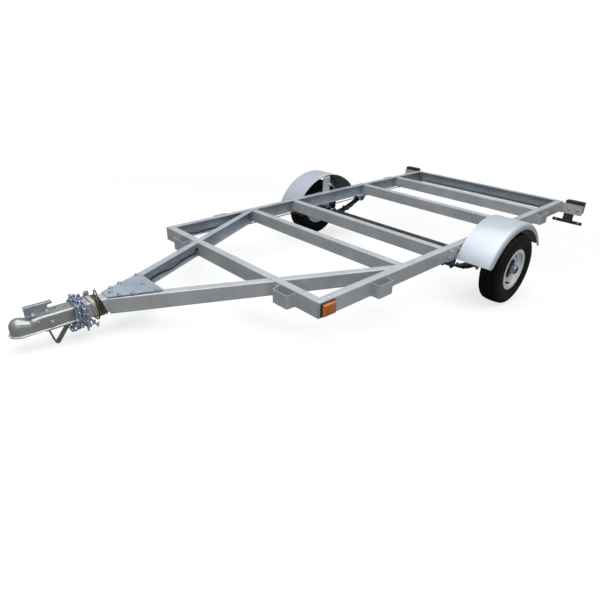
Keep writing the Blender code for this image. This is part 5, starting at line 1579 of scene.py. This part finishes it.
@dataclass
class BedFrame:
    """The bed's low heads, bolts and welds."""

    side_pockets: tuple[float, float] = (0.385, 2.045)
    end_pocket: float = 0.4137
    pocket_half: float = 0.0500
    splice_stations: tuple[float, ...] = (0.975, 1.045, 1.150, 1.490, 1.595, 1.665)

    def flange_heads(self) -> None:
        """Sets the low heads that hold the crossmembers and the corners to the flanges."""
        spots = [(RAIL_HALF - 0.020, station + back, 0.0) for station in CROSSMEMBERS for back in (0.012, 0.029)]
        for station in (0.020, 0.075, 0.205, BED_LENGTH - 0.020, BED_LENGTH - 0.075):
            spots.append((RAIL_HALF - 0.019, station, 0.0))
        spots += [(0.335, 0.022, 0.0), (0.505, 0.022, 0.0), (0.360, BED_LENGTH - 0.019, 0.0)]
        spots = [*both_sides(spots), (-0.0064, 0.0221, 0.0), (0.0, BED_LENGTH - 0.019, 0.0)]
        RoundHead(0.0062, 0.0022).fit("flange_heads", [facing(spot, UP) for spot in spots], BOLT_ZINC, 60.0)

    def web_bolts(self) -> None:
        """Bolts the splice plates and the rail ends through their webs."""
        spots = [(station, height) for station in self.splice_stations for height in (-0.020, -0.056)]
        nut = HexBolt(0.0130, 0.0062, 0.0014, 0.0092, 0.003, 0.0038)
        for side in Side:
            way, inside = side.value, RAIL_HALF - 0.003
            places = [facing((way * SPLICE_FACE, y, z), (way, 0, 0), 0.4 * k) for k, (y, z) in enumerate(spots)]
            FRAME_BOLT.fit(f"splice_bolts_{side.label}", places, BOLT_ZINC)
            places = [facing((way * inside, y, z), (-way, 0, 0), 0.2) for y, z in spots]
            nut.fit(f"splice_nuts_{side.label}", places, BOLT_ZINC)
        ends = [(way * 0.352, z, turn) for z, turn in ((-0.0190, 0.2), (-0.0570, 0.5)) for way in (1, -1)]
        FRAME_BOLT.fit("front_rail_bolts", [facing((x, 0.0, z), AHEAD, turn) for x, z, turn in ends], BOLT_ZINC)

    def pocket_welds(self) -> None:
        """Welds both legs of every stake pocket to its rail."""
        low, high = -0.075, -0.013
        seams = []
        for side in Side:
            face = side.value * (RAIL_HALF + 0.0010)
            for station in self.side_pockets:
                for leg in (-1, 1):
                    seams.append(upright(face, station + leg * self.pocket_half, low, high, (side.value, leg, 0)))
            for station, way in ((-0.0010, -1), (BED_LENGTH + 0.0010, 1)):
                for leg in (-1, 1):
                    x = side.value * self.end_pocket + leg * self.pocket_half
                    seams.append(upright(x, station, low, high, (leg, way, 0)))
        WeldBead(0.0028, 0.0040).lay("pocket_welds", seams, RAIL_STEEL)

    def corner_welds(self) -> None:
        """Welds the end rails into the side rails at the four corners."""
        seams = [
            upright(way * (RAIL_HALF - 0.0045), station, -0.0715, -0.0040, (0, face, 0))
            for way in (1, -1)
            for station, face in ((-0.0004, -1), (BED_LENGTH + 0.0004, 1))
        ]
        WeldBead(0.0022, 0.0036).lay("corner_welds", seams, STRAP_STEEL)

    def build(self) -> None:
        """Builds all of it."""
        self.flange_heads()
        self.web_bolts()
        self.pocket_welds()
        self.corner_welds()


@dataclass
class RoadWheel:
    """A trailer tyre with a ribbed tread, the wheel's nuts, its valve and its dust cap."""

    side: Side
    segments: int = 108
    nuts: int = 4
    nut_radius: float = 0.0412
    face: float = 0.0073
    valve_angle: float = math.radians(258.0)
    valve_radius: float = 0.0860
    wall: Outline = (
        (0.0467, 0.1019), (0.0467, 0.1163), (0.0480, 0.1178), (0.0505, 0.1190), (0.0522, 0.1205), (0.0526, 0.1225),
        (0.0540, 0.1245), (0.0572, 0.1336), (0.0590, 0.1413), (0.0594, 0.1418), (0.0600, 0.1489), (0.0606, 0.1575),
        (0.0609, 0.1581), (0.0609, 0.1596), (0.0604, 0.1602), (0.0597, 0.1700), (0.0578, 0.1791), (0.0577, 0.1805),
        (0.0562, 0.1811), (0.0542, 0.1872), (0.0518, 0.1922), (0.0490, 0.1953), (0.0455, 0.1975), (0.0410, 0.1994),
    )
    tread: Outline = (
        (0.0300, 0.2012), (0.0294, 0.1960), (0.0254, 0.1960), (0.0248, 0.2018),
        (0.0110, 0.2027), (0.0104, 0.1972), (0.0066, 0.1972), (0.0060, 0.2029), (0.0, 0.2030),
    )
    lining: Outline = ((0.0200, 0.1900), (0.0440, 0.1830), (0.0500, 0.1420), (0.0387, 0.1019))
    slits: tuple[tuple[float, float, int, int], ...] = (
        (0.0305, 0.0500, 4, 0), (-0.0500, -0.0305, 4, 2), (0.0112, 0.0247, 6, 1), (-0.0247, -0.0112, 6, 4)
    )
    slit_floor: float = 0.1930
    cap_rim: Outline = ((0.0335, 0.0322), (0.0362, 0.0322), (0.0372, 0.0305), (0.0372, 0.0250), (0.0335, 0.0250))
    cap: Outline = (
        (0.0375, 0.0243), (0.0560, 0.0243), (0.0598, 0.0236), (0.0622, 0.0215), (0.0635, 0.0170), (0.06395, 0.0110),
        (0.06405, 0.0), (0.0600, 0.0), (0.0590, 0.0200), (0.0375, 0.0235), (0.0375, 0.0243),
    )

    @property
    def seat(self) -> dict[str, object]:
        """The body that turns with the wheel, and where the wheel's own axes stand."""
        centre = STANDING @ Vector((self.side.value * WHEEL_OFFSET, AXLE_STATION, AXLE_HEIGHT))
        turn = 0.0 if self.side is Side.LEFT else math.pi
        place = Matrix.Translation(centre) @ Matrix.Rotation(turn, 4, "Z")
        return {"body": f"wheel_{self.side.label}", "place": place}

    def spot(self, x: float, radius: float, angle: float) -> Point:
        """A spot on the wheel's outer face, at a radius and an angle."""
        return (x, radius * math.cos(angle), radius * math.sin(angle))

    def slit(self, low: float, high: float, every: int, shift: int) -> Callable[[Vector, Vector], bool]:
        """A test that finds one face in so many round a rib.

        Args:
            low: the rib's inner edge.
            high: its outer edge.
            every: how many faces lie between one slit and the next.
            shift: the first slit's place.

        Returns:
            The test.
        """
        step = math.tau / self.segments

        def test(middle: Vector, normal: Vector) -> bool:
            """Whether a face is one of them."""
            turn = math.floor((math.atan2(middle.z, middle.y) % math.tau) / step + 0.001)
            radius = math.hypot(middle.y, middle.z)
            outwards = (normal.y * middle.y + normal.z * middle.z) / radius > 0.3
            return outwards and radius > self.slit_floor and low < middle.x < high and turn % every == shift

        return test

    def tyre(self) -> None:
        """Spins the tyre and presses the slits into its ribs and shoulders."""
        half = [*self.wall, *self.tread]
        profile = half + [(-x, radius) for x, radius in reversed(half[:-1])]
        profile += [(-x, radius) for x, radius in reversed(self.lining)] + list(self.lining)
        tyre = Bench.spun(f"tyre_{self.side.label}_tread", profile, self.segments)
        with Bench.shaping(tyre):
            for row in self.slits:
                Bench.pick(tyre, Pick.FACES, self.slit(*row))
                bpy.ops.mesh.inset(thickness=0.0022, use_boundary=True)
                bpy.ops.mesh.extrude_region_shrink_fatten(TRANSFORM_OT_shrink_fatten={"value": -0.0035})
        Bench.settled(tyre, TYRE, smooth=32.0, stands_for=(f"tyre_{self.side.label}",), **self.seat)

    def wheel_nuts(self) -> None:
        """Sets the cone nuts round the hub."""
        angles = [math.tau * (index + 0.5) / self.nuts + 0.35 for index in range(self.nuts)]
        places = [facing(self.spot(self.face, self.nut_radius, angle), (1, 0, 0), angle) for angle in angles]
        nut = HexBolt(0.0222, 0.0190, 0.0026, 0.0140, 0.007, 0.0060)
        nut.fit(f"wheel_nuts_{self.side.label}", places, DARK_STEEL, **self.seat)

    def valve(self) -> None:
        """Makes the rubber valve stem with its cap."""
        stem = Bench.drum(f"valve_stem_{self.side.label}", 14, 0.0075, 0.0, 0.006)
        with Bench.shaping(stem):
            Bench.pick_end(stem, UP)
            for rise, size in ((0.005, 0.68), (0.013, 0.95), (0.0, 1.20), (0.010, 1.0), (0.002, 0.7)):
                Bench.extrude(0, 0, rise)
                bpy.ops.transform.resize(value=(size, size, 1.0))
        foot = self.spot(0.0160, self.valve_radius, self.valve_angle)
        stem.matrix_world = facing(foot, (0.74, 0.67, 0.05))
        Bench.settled(Bench.freeze(stem), LOOM, **self.seat)

    def dust_cap(self) -> None:
        """Adds the dark pressed rim of the hub's cap and its pale crown, two closed shells."""
        label = self.side.label
        Bench.settled(Bench.spun(f"dust_cap_rim_{label}", self.cap_rim, 40), DARK_STEEL, **self.seat)
        Bench.settled(Bench.spun(f"dust_cap_{label}", self.cap, 40), CAP_ZINC, smooth=40.0, **self.seat)

    def build(self) -> None:
        """Builds all of it."""
        self.tyre()
        self.wheel_nuts()
        self.valve()
        self.dust_cap()


@dataclass
class RunningGear:
    """Nuts, clips and bolts of the springs and their hangers."""

    clamp_bottom: float = -0.1949
    across: float = 0.02755
    along: float = 0.0243
    arc_radius: float = 0.71598
    arc_low: float = -0.17220
    hanger_half: float = 0.0277
    clip_reach: float = 0.168
    clip_width: float = 0.020
    clip_thick: float = 0.003
    leaf_half: float = 0.0445 / 2 + 0.0008

    def build(self) -> None:
        """Sets the U bolts' nuts, the leaf clips and the eye bolts' heads on both sides."""
        nut = HexBolt(0.0165, 0.0085, 0.0020, 0.0100, 0.0, 0.0048)
        head = HexBolt(0.0240, 0.0082, 0.0, 0.0)
        for side in Side:
            x = side.value * SPRING_OFFSET
            places = [
                facing((x + a * self.across, AXLE_STATION + b * self.along, self.clamp_bottom), DOWN, 0.3 * a)
                for a in (1, -1) for b in (1, -1)
            ]
            nut.fit(f"clamp_nuts_{side.label}", places, BOLT_ZINC)
            eyes = [(way, AXLE_STATION + end * SPRING_HALF_SPAN) for way in (1, -1) for end in (1, -1)]
            places = [facing((x + way * self.hanger_half, y, EYE_HEIGHT), (way, 0, 0), 0.25) for way, y in eyes]
            head.fit(f"eye_bolt_heads_{side.label}", places, DARK_STEEL)
            self.clips(side)

    def clips(self, side: Side) -> None:
        """Bends a clip round the leaves on both arms of the spring.

        Args:
            side: the side of the trailer.
        """
        made = []
        half, wide = self.leaf_half, self.leaf_half + self.clip_thick
        outline = rounded([
            (-wide, -0.0140, 0.003), (wide, -0.0140, 0.003), (wide, 0.0100, 0.002), (half, 0.0100, 0.0),
            (half, -0.0105, 0.0), (-half, -0.0105, 0.0), (-half, 0.0100, 0.0), (-wide, 0.0100, 0.002),
        ])
        for reach in (-self.clip_reach, self.clip_reach):
            tilt = math.asin(reach / self.arc_radius)
            rise = self.arc_low + self.arc_radius * (1.0 - math.cos(tilt))
            clip = Bench.slab("clip", outline, Axis.Y, -self.clip_width / 2, self.clip_width)
            place = Matrix.Translation((SPRING_OFFSET, AXLE_STATION + reach, rise))
            clip.matrix_world = place @ Matrix.Rotation(tilt, 4, "X")
            made.append(Bench.freeze(clip))
        Bench.settled(Bench.mirrored(Bench.joined(f"leaf_clips_{side.label}", *made), side), BLACK_PAINT)


@dataclass
class FenderTrim:
    """A fender's smooth sheet with its rolled edge, and the bolts of the strap that carries it."""

    side: Side
    radius: float = 0.337
    centre: float = AXLE_HEIGHT - 0.077
    width: float = 0.195
    bend: float = 0.022
    lip: float = 0.012
    thick: float = 0.002
    ends: float = 27.5
    trim: float = 2.9
    corner: Outline = ((0.018, 1.6), (0.029, 1.3))
    steps: int = 96
    edge_steps: int = 72
    stay: float = AXLE_STATION - 0.032

    def section(self) -> list[tuple[float, float]]:
        """The sheet's section: flat, bent down over the wheel's outer face, and back inside.

        Returns:
            The (x, radius) points in order.
        """
        crown, high = self.radius - 0.0005, FENDER_INNER + self.width
        rim, turn = crown - self.bend, high - self.bend
        quarter = [math.pi / 2 * k / 8 for k in range(9)]
        inside = self.bend - self.thick
        return [
            (FENDER_INNER, crown),
            *((turn + self.bend * math.sin(a), rim + self.bend * math.cos(a)) for a in quarter),
            (high, rim - self.lip),
            (high - self.thick, rim - self.lip),
            *((turn + inside * math.sin(a), rim + inside * math.cos(a)) for a in reversed(quarter)),
            (FENDER_INNER, crown - self.thick),
        ]

    def sheet(self) -> None:
        """Rolls the sheet over the wheel and rounds off the lower corners of its outer lip."""
        label, section = self.side.label, self.section()
        crown = section[0][1]
        start, sweep = math.radians(self.ends), math.radians(180.0 - 2 * self.ends)
        sheet = Bench.trace(
            f"fender_sheet_{label}", [Vector((x, -r * math.cos(start), r * math.sin(start))) for x, r in section]
        )
        with Bench.shaping(sheet):
            bpy.ops.mesh.select_all(action="SELECT")
            bpy.ops.mesh.spin(steps=self.steps, angle=sweep, center=(0, 0, 0), axis=(1, 0, 0))
            for way in (-1, 1):
                for drop, turn in self.corner:
                    Bench.pick(sheet, Pick.VERTS, lambda spot, normal: (
                        math.hypot(spot.y, spot.z) < crown - drop
                        and way * spot.y > crown * 0.5
                        and math.degrees(math.atan2(spot.z, abs(spot.y))) < self.ends + turn + 0.4
                    ))
                    shift = (crown - self.bend) * math.radians(turn)
                    bpy.ops.transform.translate(value=(0, -way * shift * math.sin(start), shift * math.cos(start)))
            Bench.turn_outwards()
        # The faces towards the wheel get the dark copy of the fender steel: painted shade.
        for finish in (FENDER_STEEL, SHADED_FENDER_STEEL):
            sheet.data.materials.append(finish.material())
        with Bench.shaping(sheet):
            Bench.pick(sheet, Pick.FACES, lambda middle, normal: normal.y * middle.y + normal.z * middle.z < -0.15)
            sheet.active_material_index = 1
            bpy.ops.object.material_slot_assign()
        sheet.matrix_world = Matrix.Translation((0.0, AXLE_STATION, self.centre)) @ sheet.matrix_world
        dressed = Bench.mirrored(Bench.freeze(sheet), self.side)
        Bench.settled(dressed, FENDER_STEEL, SHADED_FENDER_STEEL, smooth=40.0, stands_for=(f"fender_{label}",))

    def edge(self) -> None:
        """Lays the rolled edge along the outer lip's arc."""
        x, radius = FENDER_INNER + self.width - 0.0016, self.radius - 0.0340
        start, end = math.radians(self.ends + self.trim), math.radians(180.0 - self.ends - self.trim)
        path = []
        for step in range(self.edge_steps + 1):
            angle = start + (end - start) * step / self.edge_steps
            path.append(Vector((x, AXLE_STATION - radius * math.cos(angle), self.centre + radius * math.sin(angle))))
        edge = Bench.tube(f"fender_outer_edge_{self.side.label}", path, 0.0015, 8)
        Bench.settled(Bench.mirrored(edge, self.side), FENDER_STEEL, smooth=60.0)

    def bolts(self) -> None:
        """Bolts the sheet to its strap and the strap to the rail."""
        way, label = self.side.value, self.side.label
        lean = math.asin((AXLE_STATION - self.stay) / self.radius)
        top = self.centre + (self.radius - 0.0018) * math.cos(lean)
        up = (0, -math.sin(lean), math.cos(lean))
        places = [facing((way * (FENDER_INNER + out), self.stay, top), up) for out in (0.045, 0.130)]
        RoundHead(0.0070, 0.0022).fit(f"fender_bolts_{label}", places, FENDER_STEEL, 60.0)
        places = [
            facing((way * (SPLICE_FACE + 0.0043), self.stay + along, height), (way, 0, 0), 0.3)
            for along in (-0.019, 0.019) for height in (-0.020, -0.048)
        ]
        FRAME_BOLT.fit(f"stay_bolts_{label}", places, BOLT_ZINC)

    def build(self) -> None:
        """Builds all of it."""
        self.sheet()
        self.edge()
        self.bolts()


@dataclass
class SideMarker:
    """A side marker: a black base with a rim, and an amber lens with a stepped face."""

    side: Side
    front: float = 0.008
    length: float = 0.080
    top: float = -0.0055
    height: float = 0.062
    border: float = 0.0040
    foot: float = RAIL_HALF + 0.0003

    def build(self) -> None:
        """Builds the base and the lens."""
        label, back, low = self.side.label, self.front + self.length, self.top - self.height
        box = frame_box(self.front, back, low, self.top, 0.005)
        base = Bench.slab(f"side_marker_base_{label}", box, Axis.X, self.foot, 0.0085)
        with Bench.shaping(base):
            Bench.pick_end(base, (1, 0, 0))
            bpy.ops.mesh.inset(thickness=0.0035)
            Bench.extrude(-0.003, 0, 0)
        base = Bench.mirrored(Bench.bevelled(base, 0.0008), self.side)
        Bench.settled(base, BLACK_PLASTIC, stands_for=(f"side_marker_{label}",))
        rim = self.border
        pane = frame_box(self.front + rim, back - rim, low + rim, self.top - rim, 0.0045)
        lens = Bench.slab(f"side_marker_lens_{label}", pane, Axis.X, self.foot + 0.0055, 0.0100)
        with Bench.shaping(lens):
            Bench.pick_end(lens, (1, 0, 0))
            for rise, size in ((0.0035, 0.94), (0.0022, 0.86)):
                Bench.extrude(rise, 0, 0)
                bpy.ops.transform.resize(value=(1.0, size, size))
        Bench.settled(Bench.mirrored(Bench.bevelled(lens, 0.0012), self.side), AMBER_LENS)


@dataclass
class TailLamp:
    """A tail lamp's lens ribs and skirt, its screws, and the bolts of its bracket."""

    side: Side
    low_x: float = 0.6256
    high_x: float = 0.7456
    face: float = 2.4721
    low: float = -0.0730
    high: float = 0.0120
    glass: float = 0.0165
    ribs: int = 8
    rib_pitch: float = 0.0082

    def lens(self) -> None:
        """Builds the ribs on the lens and the skirt round its edge."""
        label, inset = self.side.label, 0.0095
        bar = frame_box(self.low_x + inset, self.high_x - inset, -0.0012, 0.0012, 0.0010)
        rib = Bench.slab("rib", bar, Axis.Y, self.face + self.glass - 0.0018, 0.0022)
        places = [Matrix.Translation((0, 0, self.low + 0.014 + self.rib_pitch * k)) for k in range(self.ribs)]
        Bench.settled(Bench.mirrored(Bench.copies(f"lamp_lens_ribs_{label}", rib, places), self.side), RED_LENS)
        edge = 0.0006
        skirt = frame_box(self.low_x + edge, self.high_x - edge, self.low + edge, self.high - 0.0014, 0.006)
        flange = Bench.slab(f"lamp_lens_skirt_{label}", skirt, Axis.Y, self.face + 0.0002, 0.0110)
        with Bench.shaping(flange):
            Bench.pick_end(flange, BACK)
            bpy.ops.mesh.inset(thickness=0.0040)
            Bench.extrude(0, -0.0100, 0)
        Bench.settled(Bench.mirrored(flange, self.side), RED_LENS)

    def bolts(self) -> None:
        """Sets the lens's screws, the bracket's bolts and the lamp's studs."""
        way, label = self.side.value, self.side.label
        depth, middle = self.face + self.glass - 0.0016, (self.low + self.high) / 2
        places = [facing((way * x, depth, middle), BACK) for x in (self.low_x + 0.011, self.high_x - 0.011)]
        RoundHead(0.0040, 0.0020).fit(f"lamp_screws_{label}", places, BOLT_ZINC, 60.0)
        rear = BED_LENGTH + 0.0033
        places = [facing((way * (RAIL_HALF - 0.032), rear, z), BACK, 0.3) for z in (-0.028, -0.062)]
        FRAME_BOLT.fit(f"lamp_bracket_bolts_{label}", places, BOLT_ZINC)
        places = [facing((way * x, BED_LENGTH + 0.0003, -0.045), AHEAD, 0.2) for x in (0.660, 0.715)]
        HexBolt(0.0110, 0.0050, 0.0012, 0.0085, 0.006, 0.003).fit(f"lamp_studs_{label}", places, LATCH_ZINC)

    def build(self) -> None:
        """Builds all of it."""
        self.lens()
        self.bolts()


@dataclass
class PlateHolder:
    """The bolts that wait in the plate bar's slots, with the clips behind them, and the stem's screws."""

    middle: float = 0.6666
    front: float = 2.4420
    rear: float = 2.4450
    height: float = -0.1352
    slot: float = 0.0760
    slot_half: float = 0.0150
    clip_half: float = 0.0065

    def build(self) -> None:
        """Builds the clips, the bolts and the screws."""
        clips, low, high = [], self.height - self.clip_half, self.height + self.clip_half
        for x in (self.middle - self.slot, self.middle + self.slot):
            box = frame_box(x - self.slot_half, x + self.slot_half, low, high, 0.002)
            clips.append(Bench.slab("clip", box, Axis.Y, self.rear + 0.0003, 0.003))
        Bench.settled(Bench.bevelled(Bench.joined("plate_clips", *clips), 0.0005, 1), BLACK_PLASTIC)
        places = [facing((self.middle + way * self.slot, self.front, self.height), AHEAD, 0.4 * way) for way in (-1, 1)]
        HexBolt(0.0090, 0.0040, 0.0010, 0.0070).fit("plate_bolts", places, BOLT_ZINC)
        places = [facing((self.middle + x, self.front, -0.0850), AHEAD) for x in (-0.019, 0.019)]
        RoundHead(0.0048, 0.0024).fit("plate_stem_screws", places, DARK_STEEL, 60.0)


def main() -> None:
    """Builds the studio and every sub-assembly in order."""
    logging.basicConfig(level=logging.INFO, format="%(name)s: %(message)s")
    Studio().build()
    LampLead().build()
    SafetyChain().build()
    CouplerHead().build()
    TongueJoint().build()
    BedFrame().build()
    RunningGear().build()
    for side in Side:
        RoadWheel(side).build()
        FenderTrim(side).build()
        SideMarker(side).build()
        TailLamp(side).build()
    PlateHolder().build()
    dress_nodes()


if __name__ == "__main__":
    main()
